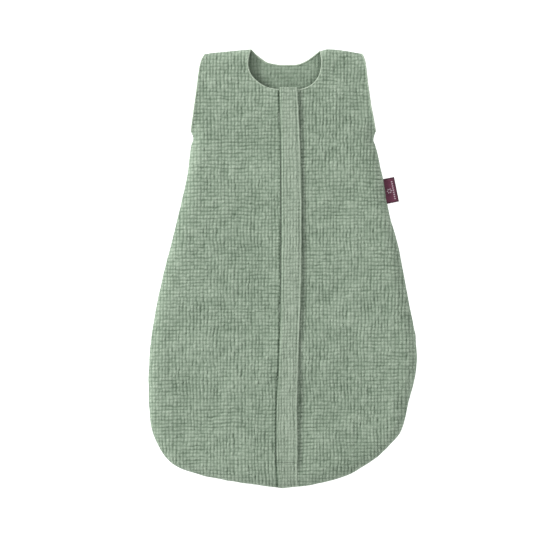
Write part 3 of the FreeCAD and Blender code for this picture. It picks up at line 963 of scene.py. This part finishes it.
@dataclass
class Front:
    """One front panel: the cloth above the zip's end, which folds open, and that below it.

    Attributes:
        side: "left" or "right".
        spacing: Mesh spacing of the outer cloth, in millimetres.
        lining_spacing: Mesh spacing of the lining.
        back_off: Distance of the cloth from the middle of the zip.
        lining_back_off: Distance of the lining from the middle of the zip.
        lining_puffed: Share of the crinkle that shows on the lining.
        lining_drop: Depth of the lining below the outer surface.
        groove_beside: Distance of the sewn groove from the placket's edge.
        groove_width: Width of that groove.
        groove_depth: Its depth.
        groove_tone: How much darker it is, as painted shade in the groove.
        edge_radius: Radius of the turned edges.
        edge_puffed: Share of the crinkle that shows on them.
        edge_drop: Depth of their middle below the outer surface.
    """

    side: str
    spacing: float = 1.3
    lining_spacing: float = 3.0
    back_off: float = 3.6
    lining_back_off: float = 9.0
    lining_puffed: float = 0.45
    lining_drop: float = 2.2
    groove_beside: float = 0.9
    groove_width: float = 1.3
    groove_depth: float = 0.8
    groove_tone: float = 0.6
    edge_radius: float = 1.25
    edge_puffed: float = 0.25
    edge_drop: float = 0.75

    @property
    def sign(self) -> int:
        """-1 on the left and 1 on the right."""
        return -1 if self.side == "left" else 1

    def loop(self, back_off: float, above: bool) -> np.ndarray:
        """Outline of one part of the front.

        Args:
            back_off: Distance of its straight edge from the middle.
            above: Whether it is the part above the zip's end.

        Returns:
            The closed outline.
        """
        whole = PATTERN.front_loop(self.side, self.sign * back_off)
        return clip_loop(whole, LOW_CUT, above)

    def outer(self, above: bool) -> ClothMesh:
        """The outer cloth of one part, with the groove where the placket is sewn down and painted shade in
        it.

        Args:
            above: Whether it is the part above the zip's end.

        Returns:
            The surface.
        """
        points, faces = fill_loop(self.loop(self.back_off if above else 0.0, above), self.spacing)
        level, tone = front_level(points, self.side)
        beside = points[:, 0] - PLACKET.edge_at(PLACKET.left_edge, points[:, 1])
        sewn = np.exp(-((beside + self.groove_beside) / self.groove_width) ** 2)
        # Painted shade in the sewn groove beside the placket.
        tone = np.clip(tone - self.groove_tone * sewn, 0, 1)
        return ClothMesh(np.column_stack([points, level - self.groove_depth * sewn]), faces, tone)

    def lining(self, above: bool) -> ClothMesh:
        """The lining of one part.

        Args:
            above: Whether it is the part above the zip's end.

        Returns:
            The surface, facing down.
        """
        loop = self.loop(self.lining_back_off if above else 0.0, above)
        points, faces = fill_loop(loop, self.lining_spacing)
        level, tone = front_level(points, self.side, self.lining_puffed)
        lowest = SEAM_LEVEL * 0.9
        level = np.maximum(level - self.lining_drop, lowest)
        return ClothMesh(np.column_stack([points, level]), faces[:, ::-1], tone)

    def build(self) -> None:
        """Make the cloth, the lining and the turned edges of this front."""
        edges = [self.neck_edge(), self.armhole_edge()]
        self.part(above=True, edges=edges)
        self.part(above=False, edges=[])

    def part(self, above: bool, edges: list) -> None:
        """Make one part's two plies, and let them ride on the bag or keep them where they are.

        Args:
            above: Whether it is the part above the zip's end.
            edges: Turned edges that belong to it; not used.
        """
        place = "upper" if above else "lower"
        loop = self.loop(self.back_off, above)
        outer = self.outer(above)
        lining = self.lining(above)
        cloth = outer.to_object(f"front_{self.side}_{place}", SAGE)
        inner = lining.to_object(f"front_{self.side}_{place}_lining", SAGE_SHADED_INSIDE)
        for piece, slot_name in ((cloth, "outer"), (inner, "lining")):
            self.move(piece, above)
        if above:
            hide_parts(f"front_{self.side}_outer", f"flap_{self.side}_outer")
            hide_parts(f"front_{self.side}_lining", f"flap_{self.side}_lining")

    def move(self, piece: bpy.types.Object, folds: bool) -> None:
        """Let a piece ride on the bag, or, where it crosses the front's fold line, bake its place into its
        mesh.

        Args:
            piece: The piece.
            folds: Whether it crosses the fold line.
        """
        if folds:
            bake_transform(piece)
        else:
            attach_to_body(piece, "bag")

    def edge_piece(self, name: str, line: np.ndarray, replaced: str, folds: bool) -> bpy.types.Object:
        """A turned edge of this front.

        Args:
            name: Name of the piece.
            line: Where it runs, seen from above.
            replaced: The frame's node that it stands for.
            folds: Whether it crosses the fold line.

        Returns:
            The piece.
        """
        level = front_level(line, self.side, self.edge_puffed)[0] - self.edge_drop
        piece = turned_edge(name, line, level, self.edge_radius)
        self.move(piece, folds)
        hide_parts(replaced)
        return piece

    def neck_edge(self) -> bpy.types.Object:
        """The turned edge of this half of the front neckline."""
        line = PATTERN.line(f"{self.side}_neck", EDGE_STEP)
        return self.edge_piece(f"front_{self.side}_neck_edge", line, f"neck_{self.side}_binding", True)

    def armhole_edge(self) -> bpy.types.Object:
        """The turned edge of this armhole on the front.

        Returns:
            The piece.
        """
        line = PATTERN.line(f"{self.side}_armhole", EDGE_STEP)
        name = f"front_{self.side}_armhole_edge"
        return self.edge_piece(name, line, f"armhole_front_{self.side}_binding", False)


@dataclass
class Placket:
    """The folded strip over the zip, sewn down along its left edge.

    Attributes:
        left_edge: Chosen points of its sewn edge, (x, y) in millimetres.
        right_edge: Chosen points of its free edge.
        columns: Mesh columns across its top.
        spacing: Mesh spacing along it.
        thickness: Thickness of the folded strip.
        crown: Width of each rounded edge.
        edge_wobble: How far the free edge strays.
        ridge_in: Distance of each edge's ridge from the edge.
        sewn_ridge: Height of the ridge along the sewn edge.
        free_ridge: Height of the ridge along the free edge.
        stitched_in: Distance of the topstitching from each edge.
        stitched_depth: Its depth.
        seam_dip: How far the strip dips into the sewn groove.
        hang: How far its free edge hangs.
        hem_dip: How far its lower end sinks to the hem.
        cloth: Width of the cloth before it is folded.
    """

    left_edge: list = field(default_factory=lambda: [
        (-5.5, 290), (-3.5, 230), (-2, 150), (-2, 40), (-3, -60), (-6, -150), (-9.5, -220),
        (-9.5, -300), (-7.5, -330), (-7, -350)])
    right_edge: list = field(default_factory=lambda: [
        (23, 290), (26.5, 230), (29.5, 150), (30, 40), (29, -40), (26, -120), (23.5, -200),
        (24, -270), (23.5, -320), (24.5, -350)])
    columns: int = 34
    spacing: float = 1.2
    thickness: float = 1.7
    crown: float = 3.2
    edge_wobble: float = 0.35
    ridge_in: float = 1.4
    sewn_ridge: float = 0.45
    free_ridge: float = 0.9
    stitched_in: float = 4.0
    stitched_depth: float = 0.5
    seam_dip: float = 3.2
    hang: float = 0.6
    hem_dip: float = 3.4
    cloth: float = 62.0

    def edge_at(self, points: list, y: np.ndarray) -> np.ndarray:
        """Where an edge is across the bag, at places along it."""
        line = smooth_run(points)[::-1]
        return np.interp(y, line[:, 1], line[:, 0])

    def hem_rise(self, x: np.ndarray, y: np.ndarray) -> np.ndarray:
        """How far its lower end is drawn up so that it ends on the curved hem.

        Args:
            x: Places across the bag.
            y: Places along it.

        Returns:
            The rise at each place.
        """
        drawn = 40.0
        hem = np.vstack([PATTERN.line("left_side"), PATTERN.line("right_side")[::-1]])
        hem = hem[hem[:, 1] < LOW_CUT]
        hem = hem[np.argsort(hem[:, 0])]
        rise = np.interp(x, hem[:, 0], hem[:, 1]) - PATTERN.left_side[-1][1]
        return rise * smooth_step((LOW_CUT - y) / drawn)

    def grid(self, low: float, high: float) -> tuple:
        """Places on the strip between two heights along the bag, by row and column.

        Args:
            low: Its lower end.
            high: Its upper end.

        Returns:
            X and Y of each place, and its distances from the sewn and from the free edge.
        """
        count = int(round((high - low) / self.spacing)) + 1
        along = np.linspace(low, high, count)
        left, right = (self.edge_at(points, along) for points in (self.left_edge, self.right_edge))
        right = right + self.edge_wobble * value_noise(along, along * 0, 8, 51)
        x = left[:, None] + (right - left)[:, None] * np.linspace(0, 1, self.columns)
        y = np.repeat(along[:, None], self.columns, 1) + self.hem_rise(x, along[:, None])
        return x, y, x - left[:, None], right[:, None] - x

    def sunk(self, x: np.ndarray, y: np.ndarray) -> np.ndarray:
        """How far the strip lies below its level, with the bag's rounded edge and at the hem.

        Args:
            x: Places across the bag.
            y: Places along it.

        Returns:
            The depth at each place.
        """
        places = np.column_stack([x.ravel(), y.ravel()])
        ground = front_level(places, "right", 0.0)[0].reshape(x.shape)
        return (CLOTH_LEVEL - ground) + self.hem_dip * smooth_step((LOW_CUT + 4 - y) / 22.0)

    def strip(self, low: float, high: float) -> ClothMesh:
        """The strip between two heights along the bag, folded at its free edge.

        Args:
            low: Its lower end.
            high: Its upper end.

        Returns:
            The surface.
        """
        x, y, from_left, from_right = self.grid(low, high)
        relief = CRINKLE.relief(x.ravel() * 1.1 + 310, y.ravel())
        height, tone = (part.reshape(x.shape) for part in relief)
        nearest = np.minimum(from_left, from_right)
        rounding = np.sqrt(np.clip(1 - (1 - np.clip(nearest / self.crown, 0, 1)) ** 2, 0, 1))
        crest = np.where(from_left < from_right, self.sewn_ridge, self.free_ridge)
        ridge = crest * np.exp(-((nearest - self.ridge_in) / 0.9) ** 2)
        stitched = -self.stitched_depth * np.exp(-((nearest - self.stitched_in) / 0.9) ** 2)
        body = 0.8 * height * smooth_step((nearest - 1.0) / 2.4)
        seam_dip = self.seam_dip * smooth_step(1 - from_left / 3.4)
        hang = self.hang * smooth_step(1 - from_right / 8.0)
        top = PLACKET_LEVEL - 0.4 - self.sunk(x, y) + ridge + stitched + body - seam_dip - hang
        top = top - self.thickness * 0.5 * (1 - rounding)
        under = top - self.thickness * (0.25 + 0.75 * rounding)
        # Painted shade along the sewn edge.
        sewn = 0.6 * np.exp(-(from_left / 1.5) ** 2)
        # Painted highlight on the ridges, painted shade in the stitching and along the sewn edge.
        tone = np.clip(0.16 + 0.72 * tone + 0.42 * ridge + 0.4 * stitched - sewn, 0, 1)
        surfaces = [np.stack([x, y, z], -1) for z in (top, under)]
        # The underside gets painted shade: its tone is 0.8 of the top's.
        return flat_shell(*surfaces, (tone, tone * 0.8), closed=False)

    def build(self) -> None:
        """Make the strip's moving length and its sewn lower end."""
        high = box_mm("placket_outer")[1][1] + 2.0
        hem = PATTERN.left_side[-1][1] + 1.0
        split = 0.4
        moving = self.strip(LOW_CUT + split, high).to_object("placket_strip", SAGE_LIT_PLACKET)
        sewn = self.strip(hem, LOW_CUT).to_object("placket_strip_lower_end", SAGE_LIT_PLACKET)
        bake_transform(moving)
        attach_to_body(sewn, "bag")
        for piece, nodes, length in (
                (moving, ("placket_outer", "placket_facing"), (high - LOW_CUT) * MM),
                (sewn, ("placket_lower_end",), (LOW_CUT - hem) * MM)):
            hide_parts(*nodes)


PLACKET = Placket()


@dataclass
class Zip:
    """The zip: tapes, interlocked coils, stops, slider and pull.

    Attributes:
        pitch: Distance between two turns of a coil, in millimetres.
        tape_inner: Where a tape ends beside the middle.
        tape_outer: Where it ends under the cloth.
        tape_thickness: Thickness of a tape.
        tape_lift: How far a tape starts above the end of its own half.
        rib: Height of the tape's ribs.
        wire: Radius of a coil's wire.
        head: How far a turn's head stands back from the middle; negative past it.
        plate: Thickness of each of the slider's plates.
        web: Half width and half length of the web between them.
        post_radius: Radius of the post that the pull swings on.
        eye_radius: Radius of the hole in the pull.
        eye_in: Distance of that hole's centre from the pull's end.
    """

    pitch: float = 2.2
    tape_inner: float = 0.5
    tape_outer: float = 11.0
    tape_thickness: float = 0.5
    tape_lift: float = 3.0
    rib: float = 0.18
    wire: float = 0.42
    head: float = -0.35
    plate: float = 1.2
    web: tuple = (0.3, 3.0)
    post_radius: float = 1.2
    eye_radius: float = 1.35
    eye_in: float = 2.5

    def build(self) -> None:
        """Make every piece of the zip."""
        for side, sign in (("left", -1), ("right", 1)):
            self.tape(side, sign)
            self.coil(side, sign)
            self.top_stop(side, sign)
        self.bottom_stop()
        self.end_cover()
        self.slider()
        self.pull()

    def tape(self, side: str, sign: int) -> None:
        """The woven tape of one half, and its tail below the zip's end.

        Args:
            side: "left" or "right".
            sign: -1 on the left and 1 on the right.
        """
        spacing = 1.5
        columns = 16
        for node, body in ((f"zip_{side}_tape", f"{side}_flap"), (f"zip_{side}_tape_tail", "bag")):
            low, high = box_mm(node)
            start = low[1] + (0 if body == "bag" else self.tape_lift)
            y = np.linspace(start, high[1], int((high[1] - start) / spacing) + 2)
            x = np.linspace(self.tape_inner, self.tape_outer, columns)
            ribs = self.rib * np.abs(np.sin(x * 2.2))
            middle = (low[2] + high[2]) / 2
            grid_x, grid_y = np.meshgrid(x, y)
            level = middle + 0.15 + ribs[None, :] + 0.05 * np.sin(grid_y * 1.4)
            top, under = (np.stack([sign * grid_x, grid_y, level - drop], -1)
                          for drop in (0, self.tape_thickness))
            # Painted highlight on the ribs' crests, painted shade between them.
            tone = 0.35 + 0.5 * np.tile(ribs / self.rib, (len(y), 1))
            mesh = flat_shell(top, under, (tone, tone))
            mesh.faces = mesh.faces[:, ::sign]
            piece = mesh.to_object(f"{node}_cloth", SAGE_TAPE)
            attach(piece, body, "zip_tape", node)

    def coil(self, side: str, sign: int) -> None:
        """One half's coil: a row of rounded turns whose heads reach across the middle.

        Args:
            side: "left" or "right".
            sign: -1 on the left and 1 on the right.
        """
        low, high = box_mm(f"zip_{side}_coil")
        end_gap = 0.6
        start = low[1] + (end_gap if sign < 0 else end_gap + self.pitch / 2)
        turns = np.arange(start, high[1] - 0.4, self.pitch)
        middle = (low[2] + high[2]) / 2
        head, tail = self.head, high[0] if sign > 0 else -low[0]
        profile = [(tail, -0.75), (tail + 0.1, 0.0), (tail - 0.3, 0.75), (0.9, 0.8), (head + 0.25, 0.62),
                   (head, 0.0), (head + 0.25, -0.62), (0.9, -0.75)]
        line = np.array([[sign * x, 0, z] for x, z in profile])
        ring_points, ring_faces = self.closed_tube(line, self.wire)
        points = (ring_points[None] + np.stack([0 * turns, turns, 0 * turns + middle], 1)[:, None])
        step = len(ring_points)
        faces = ring_faces[None] + (np.arange(len(turns)) * step)[:, None, None]
        # Painted highlight on the upper side of each turn, painted shade on its lower side.
        tone = np.tile(np.clip(0.55 + 0.3 * ring_points[:, 2], 0, 1), len(turns))
        mesh = ClothMesh(points.reshape(-1, 3), faces.reshape(-1, 4), tone)
        piece = mesh.to_object(f"zip_{side}_coil_turns", SAGE_PLASTIC)
        attach(piece, f"{side}_flap", "zip_coil", f"zip_{side}_coil")

    def closed_tube(self, line: np.ndarray, radius: float, sides: int = 6) -> tuple:
        """A tube along a closed line that lies across the bag.

        Args:
            line: The line's corners.
            radius: The tube's radius.
            sides: How many sides its section has.

        Returns:
            The points, and the faces as rows of four indices.
        """
        along = np.roll(line, -1, 0) - np.roll(line, 1, 0)
        along /= np.linalg.norm(along, axis=1)[:, None]
        side = np.cross(along, [0, 1, 0])
        turn = np.linspace(0, 2 * np.pi, sides, endpoint=False)
        ring = (np.cos(turn)[None, :, None] * side[:, None]
                + np.sin(turn)[None, :, None] * np.array([0, 1, 0]))
        points = (line[:, None] + radius * ring).reshape(-1, 3)
        return points, tube_faces(len(line), sides, closed=True)

    def top_stop(self, side: str, sign: int) -> None:
        """The small clip at the top of one coil."""
        piece = rounded_block(f"zip_{side}_top_clip", f"zip_{side}_top_stop", 0.5, SLIDER_PAINT)
        attach(piece, f"{side}_flap", "zip_metal", f"zip_{side}_top_stop")

    def bottom_stop(self) -> None:
        """The clip that closes the zip's lower end."""
        piece = rounded_block("zip_bottom_clip", "zip_bottom_stop", 0.6, SLIDER_PAINT)
        attach(piece, "bag", "zip_metal", "zip_bottom_stop")

    def end_cover(self) -> None:
        """The patch of cloth behind the zip's end."""
        low, high = box_mm("zip_end_cover")
        points, faces = fill_loop(np.array(box_outline(low, high)), PATCH_SPACING)
        height, tone = CRINKLE.relief(points[:, 0] + 90, points[:, 1])
        level = high[2] - 1.4 + 0.2 * height
        mesh = ClothMesh(np.column_stack([points, level]), faces, tone)
        piece = mesh.to_object("zip_end_patch", SAGE_SHADED_INSIDE)
        attach(piece, "bag", "lining", "zip_end_cover")

    def slider(self) -> None:
        """The slider's two shaped plates and web, and the post on top."""
        low, high = box_mm("zip_slider")
        middle = (low[1] + high[1]) / 2
        shape = [(-2.6, -5), (2.6, -5), (3.2, -3.6), (3.2, -0.5), (4.0, 1.6), (4.0, 3.6), (2.6, 5),
                 (0.9, 5), (0, 4.2), (-0.9, 5), (-2.6, 5), (-4.0, 3.6), (-4.0, 1.6),
                 (-3.2, -0.5), (-3.2, -3.6)]
        upper = [(x, y + middle) for x, y in shape]
        lower = [(min(x, 0.3), y) for x, y in upper if x < 0.95]
        sunk = 0.1
        under, over = low[2] + self.plate, high[2] - self.plate
        half_width, half_length = self.web
        web = box_outline((-half_width, middle - half_length), (half_width, middle + half_length))
        parts = [(upper, over, high[2]), (lower, low[2], under), (web, under - sunk, over + sunk)]
        piece = bevelled_plates("zip_slider_body", parts, 0.28, SLIDER_PAINT)
        attach(piece, "slider", "zip_metal", "zip_slider")
        base, top = box_mm("zip_slider_post")
        ring = disc_outline((base + top)[:2] / 2, self.post_radius)
        post = bevelled_plates("zip_slider_pivot", [(ring, base[2] - sunk, top[2])], 0.2, SLIDER_PAINT)
        attach(post, "slider", "zip_metal", "zip_slider_post")

    def pull(self) -> None:
        """The pull: an eye, a waist and a rounded grip with a raised rim."""
        low, high = box_mm("zip_pull")
        pivot = high[1] - self.eye_in
        outline = [(-2.3, 1.4), (-1.2, 2.4), (1.2, 2.4), (2.3, 1.4), (2.3, -1.4), (1.3, -3.2), (1.2, -6.5),
                   (2.4, -9.0), (2.5, -17.5), (1.5, -19.8), (-1.5, -19.8), (-2.5, -17.5), (-2.4, -9.0),
                   (-1.2, -6.5), (-1.3, -3.2), (-2.3, -1.4)]
        plate = [(x, y + pivot) for x, y in outline]
        piece = bevelled_plates("zip_pull_tab", [(plate, low[2], high[2])], 0.3, SLIDER_PAINT,
                                hole=((0.0, pivot), self.eye_radius))
        attach(piece, "pull", "zip_metal", "zip_pull")


BEVEL_SEGMENTS = 3
METAL_TONE = 0.55
DRILL_ENDS = (-0.01, 0.06)


def disc_outline(centre: tuple, radius: float, sides: int = 24) -> list:
    """Corners of a round outline."""
    turns = [2 * math.pi * step / sides for step in range(sides)]
    return [(centre[0] + radius * math.cos(t), centre[1] + radius * math.sin(t)) for t in turns]


def bevelled_plates(name: str, parts: list, bevel: float, finish: Finish,
                    hole: tuple | None = None) -> bpy.types.Object:
    """Plates of given outlines with rounded edges, as one piece.

    Args:
        name: Name of the piece.
        parts: Rows of (outline, low, high), in millimetres.
        bevel: Radius of the rounded edges.
        finish: What the piece is dressed with.
        hole: Centre and radius of a round hole through it.

    Returns:
        The piece.
    """
    mesh = bpy.data.meshes.new(name)
    points, faces = [], []
    for outline, low, high in parts:
        start, count = len(points), len(outline)
        points += [(x, y, low) for x, y in outline] + [(x, y, high) for x, y in outline]
        faces.append(tuple(start + i for i in reversed(range(count))))
        faces.append(tuple(start + count + i for i in range(count)))
        for i in range(count):
            after = (i + 1) % count
            faces.append((start + i, start + after, start + count + after, start + count + i))
    mesh.from_pydata([tuple(c * MM for c in p) for p in points], [], faces)
    mesh.update()
    piece = bpy.data.objects.new(name, mesh)
    bpy.context.scene.collection.objects.link(piece)
    if hole:
        cut_hole(piece, *hole)
    rounding = piece.modifiers.new("rounding", "BEVEL")
    rounding.width = bevel * MM
    rounding.segments = BEVEL_SEGMENTS
    rounding.limit_method = "ANGLE"
    apply_modifiers(piece)
    layer = piece.data.attributes.new("tone", "FLOAT", "POINT")
    layer.data.foreach_set("value", np.full(len(piece.data.vertices), METAL_TONE, np.float32))
    piece.data.materials.clear()
    piece.data.materials.append(finish.material())
    return piece


def cut_hole(piece: bpy.types.Object, centre: tuple, radius: float) -> None:
    """Cut a round hole through a plate.

    Args:
        piece: The plate.
        centre: The hole's centre, in millimetres.
        radius: Its radius.
    """
    ring = disc_outline(centre, radius)
    mesh = bpy.data.meshes.new("drill")
    count = len(ring)
    points = [(x * MM, y * MM, z) for z in DRILL_ENDS for x, y in ring]
    faces = [tuple(reversed(range(count))), tuple(range(count, 2 * count))]
    faces += [(i, (i + 1) % count, count + (i + 1) % count, count + i) for i in range(count)]
    mesh.from_pydata(points, [], faces)
    drill = bpy.data.objects.new("drill", mesh)
    bpy.context.scene.collection.objects.link(drill)
    cut = piece.modifiers.new("hole", "BOOLEAN")
    cut.operation = "DIFFERENCE"
    cut.object = drill
    cut.solver = "EXACT"
    apply_modifiers(piece)
    bpy.data.objects.remove(drill)
    bpy.data.meshes.remove(mesh)


def apply_modifiers(piece: bpy.types.Object) -> None:
    """Replace a piece's mesh by what its modifiers make of it.

    Args:
        piece: The piece.
    """
    bpy.context.view_layer.update()
    graph = bpy.context.evaluated_depsgraph_get()
    made = bpy.data.meshes.new_from_object(piece.evaluated_get(graph))
    piece.modifiers.clear()
    piece.data = made


def rounded_block(name: str, node: str, bevel: float, finish: Finish) -> bpy.types.Object:
    """A small clip with rounded edges and a pinched waist, as large as a node's box.

    Args:
        name: Name of the piece.
        node: The node.
        bevel: Radius of the rounded edges.
        finish: What the piece is dressed with.

    Returns:
        The piece.
    """
    low, high = box_mm(node)
    pinch = 0.12 * (high[0] - low[0])
    middle = (low[1] + high[1]) / 2
    outline = [(low[0], low[1]), (high[0], low[1]), (high[0] - pinch, middle), (high[0], high[1]),
               (low[0], high[1]), (low[0] + pinch, middle)]
    return bevelled_plates(name, [(outline, low[2], high[2])], bevel, finish)


@dataclass
class SideLabel:
    """The folded woven label in the right side seam.

    Attributes:
        width: How far it stands out of the seam, in millimetres.
        length: Its length along the seam.
        thickness: Thickness of its two layers.
        tucked: How far it goes into the seam.
        seam_drop: How far below the seam's level it comes out.
        outer_drop: Height of its underside outside the seam.
        wave: Height of its waves.
        motif_middle: Middle of the ring of leaves, out from the seam and down from the upper end.
        leaf: Distances of a leaf's inner end, sides and tip from that middle.
        leaf_turn: Half the angle that a leaf spans, in radians.
        diamond: Half width and half length of a diamond.
        diamond_across: Distance of the diamonds from the seam.
        motif_over: Height of the motif above the label.
        motif_depth: How deep its pieces are.
    """

    width: float = 21.5
    length: float = 40.0
    thickness: float = 0.9
    tucked: float = 1.0
    seam_drop: float = 0.6
    outer_drop: float = 0.7
    wave: float = 0.4
    motif_middle: tuple = (9.8, 20.5)
    leaf: tuple = (1.5, 3.0, 4.6)
    leaf_turn: float = 0.38
    diamond: tuple = (1.5, 1.35)
    diamond_across: float = 16.2
    motif_over: float = 0.22
    motif_depth: float = 0.4

    def place(self, across: np.ndarray, along: np.ndarray, up: np.ndarray) -> np.ndarray:
        """Points of the bag for places on the label.

        Args:
            across: Distances out from the seam.
            along: Distances down from its upper end.
            up: Heights above its underside.

        Returns:
            The points, in millimetres.
        """
        joint = JOINTS["label_flip"]
        x, y, _ = (c / MM for c in joint["pos_m"])
        dx, dy, _ = joint["axis"]
        down = self.length - along
        ox, oy = -dy, dx
        px = x - dx * down + ox * across
        py = y - dy * down + oy * across
        return np.stack([px, py, up], -1)

    def bend(self, across: np.ndarray, along: np.ndarray) -> np.ndarray:
        """Height of its underside: it drops out of the seam and then waves a little.

        Args:
            across: Distances out from the seam.
            along: Distances down from its upper end.

        Returns:
            The heights, in millimetres.
        """
        drop_width = 3.5
        wave = self.wave * np.sin(along / self.length * 4.2 + 0.6)
        dropped = self.outer_drop + (0.5 + wave) * smooth_step(across / self.width)
        fall = (dropped - SEAM_LEVEL + self.seam_drop) * smooth_step(across / drop_width)
        return SEAM_LEVEL - self.seam_drop + fall

    def build(self) -> None:
        """Make the label, its motif and the care label inside the bag."""
        body = self.body()
        motif = self.motif()
        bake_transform(body)
        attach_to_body(motif, "label")
        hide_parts("side_label")
        self.care_label()

    def body(self) -> bpy.types.Object:
        """The folded cloth of the label.

        Returns:
            The piece.
        """
        columns, rows = 30, 52
        across = np.linspace(-self.tucked, self.width, columns)
        along = np.linspace(0, self.length, rows)
        u, v = np.meshgrid(across, along)
        low = self.bend(np.maximum(u, 0), v)
        swell = self.thickness * (0.55 + 0.45 * np.sqrt(np.clip(1 - (u / self.width) ** 6, 0, 1)))
        rim = np.minimum(np.minimum(v, self.length - v), self.width - u)
        woven_edge = np.exp(-((rim - 1.0) / 1.3) ** 2)
        tone = np.clip(0.5 + 0.18 * value_noise(u, v, 5, 71) - 0.5 * woven_edge, 0, 1)
        top, under = self.place(u, v, low + swell), self.place(u, v, low)
        mesh = flat_shell(top, under, (tone, tone), closed=False)
        mesh.faces = mesh.faces[:, ::-1]
        return mesh.to_object("side_label_cloth", BURGUNDY)

    def leaves(self) -> list:
        """Corners of each leaf of the ring.

        Returns:
            One list of four corners for each leaf.
        """
        count = 6
        near, side, tip = self.leaf
        corners = ((near, 0.0), (side, -self.leaf_turn), (tip, 0.0), (side, self.leaf_turn))
        x, y = self.motif_middle
        turns = [leaf * 2 * math.pi / count for leaf in range(count)]
        return [[(x + r * math.cos(turn + s), y + r * math.sin(turn + s)) for r, s in corners]
                for turn in turns]

    def diamonds(self) -> list:
        """Corners of each diamond of the row.

        Returns:
            One list of four corners for each diamond.
        """
        first, end, pitch = 7.0, 34.5, 3.4
        wide, tall = self.diamond
        corners = ((-wide, 0), (0, -tall), (wide, 0), (0, tall))
        return [[(self.diamond_across + across, down + along) for across, along in corners]
                for down in np.arange(first, end, pitch)]

    def motif(self) -> bpy.types.Object:
        """A generic woven motif: a ring of leaves beside a row of small diamonds.

        Returns:
            The piece.
        """
        points, faces = [], []
        for shape in self.leaves() + self.diamonds():
            u, v = (np.array(c) for c in zip(*shape))
            start = sum(len(p) for p in points)
            top = self.bend(u, v) + self.thickness + self.motif_over
            points.append(self.place(u, v, top))
            points.append(self.place(u, v, top - self.motif_depth))
            faces.append([start, start + 1, start + 2, start + 3])
            for i in range(4):
                after = (i + 1) % 4
                faces.append([start + i, start + 4 + i, start + 4 + after, start + after])
        stacked = np.vstack(points)
        mesh = ClothMesh(stacked, np.array(faces), np.full(len(stacked), 0.6))
        return mesh.to_object("side_label_motif", PALE_THREAD, smooth=False)

    def care_label(self) -> None:
        """The plain white care label inside the bag."""
        low, high = box_mm("care_label")
        points, faces = fill_loop(np.array(box_outline(low, high)), PATCH_SPACING)
        level = high[2] + 1.6 + 0.5 * value_noise(points[:, 0], points[:, 1], 13, 81)
        mesh = ClothMesh(np.column_stack([points, level]), faces, np.full(len(points), 0.6))
        piece = mesh.to_object("care_label_cloth", WHITE_SATIN)
        attach(piece, "bag", "care_label", "care_label")


# -------------------------------------------------------------------- studio

WHITE = (1, 1, 1, 1)


@dataclass
class Studio:
    """A pale floor, soft light from above and a camera that looks straight down.

    Attributes:
        distance: Height of the camera above the floor, in metres.
        field_width: Width of the floor that the camera sees, in metres.
        aim: Point of the floor below the camera.
        sky: Strength of the even light.
        key: Strength of the soft light from the upper left, in watts.
        key_place: Where that light is, in metres.
        key_size: Its size.
        floor_size: Size of the floor.
        floor_drop: Depth of the floor below the bag.
        floor_colour: Its colour.
        floor_glow: Strength of its own light, which keeps it white.
        sensor: Width of the camera's sensor, in millimetres.
    """

    distance: float = 2.6
    field_width: float = 0.8814
    aim: tuple = (-0.00875, -0.0127)
    sky: float = 0.6
    key: float = 102.0
    key_place: tuple = (-3.0, 1.5, 1.9)
    key_size: float = 1.1
    floor_size: float = 8.0
    floor_drop: float = 0.0004
    floor_colour: tuple = (0.9, 0.9, 0.9, 1)
    floor_glow: float = 0.8
    sensor: float = 36.0

    def build(self) -> None:
        """Make the floor, the lights and the camera."""
        self.floor()
        self.lights()
        self.camera()

    def floor(self) -> None:
        """A white floor under the bag."""
        bpy.ops.mesh.primitive_plane_add(size=self.floor_size, location=(0, 0, -self.floor_drop))
        plane = bpy.context.object
        plane.name = "floor"
        material = bpy.data.materials.new("white_floor")
        material.use_nodes = True
        shader = material.node_tree.nodes["Principled BSDF"]
        shader.inputs["Base Color"].default_value = self.floor_colour
        shader.inputs["Roughness"].default_value = 0.9
        shader.inputs["Specular IOR Level"].default_value = 0.0
        shader.inputs["Emission Color"].default_value = WHITE
        shader.inputs["Emission Strength"].default_value = self.floor_glow
        plane.data.materials.append(material)
        plane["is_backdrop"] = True

    def lights(self) -> None:
        """Even light all round and one large soft lamp."""
        world = bpy.data.worlds.new("studio")
        bpy.context.scene.world = world
        world.use_nodes = True
        background = world.node_tree.nodes["Background"]
        background.inputs["Color"].default_value = WHITE
        background.inputs["Strength"].default_value = self.sky
        lamp = bpy.data.lights.new("key", "AREA")
        lamp.energy = self.key
        lamp.size = self.key_size
        holder = bpy.data.objects.new("key", lamp)
        holder.location = self.key_place
        bpy.context.scene.collection.objects.link(holder)
        holder.rotation_euler = (-holder.location).to_track_quat("-Z", "Y").to_euler()
        bpy.context.scene.view_settings.view_transform = "Standard"

    def camera(self) -> None:
        """The camera, straight above the bag."""
        data = bpy.data.cameras.new("camera")
        data.sensor_width = self.sensor
        data.lens = data.sensor_width * self.distance / self.field_width
        holder = bpy.data.objects.new("camera", data)
        holder.location = (*self.aim, self.distance)
        bpy.context.scene.collection.objects.link(holder)
        bpy.context.scene.camera = holder


def main() -> None:
    """Build every sub-assembly in order and report it."""
    logging.basicConfig(level=logging.INFO, format="%(name)s: %(message)s")
    parts = [Studio(), Back(), Front("left"), Front("right"), PLACKET, Zip(), SideLabel()]
    for part in parts:
        part.build()
        LOG.info("built %s", type(part).__name__)
    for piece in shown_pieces():
        LOG.info("%s has %d faces", piece.name, len(getattr(piece.data, "polygons", [])))


if __name__ == "__main__":
    main()
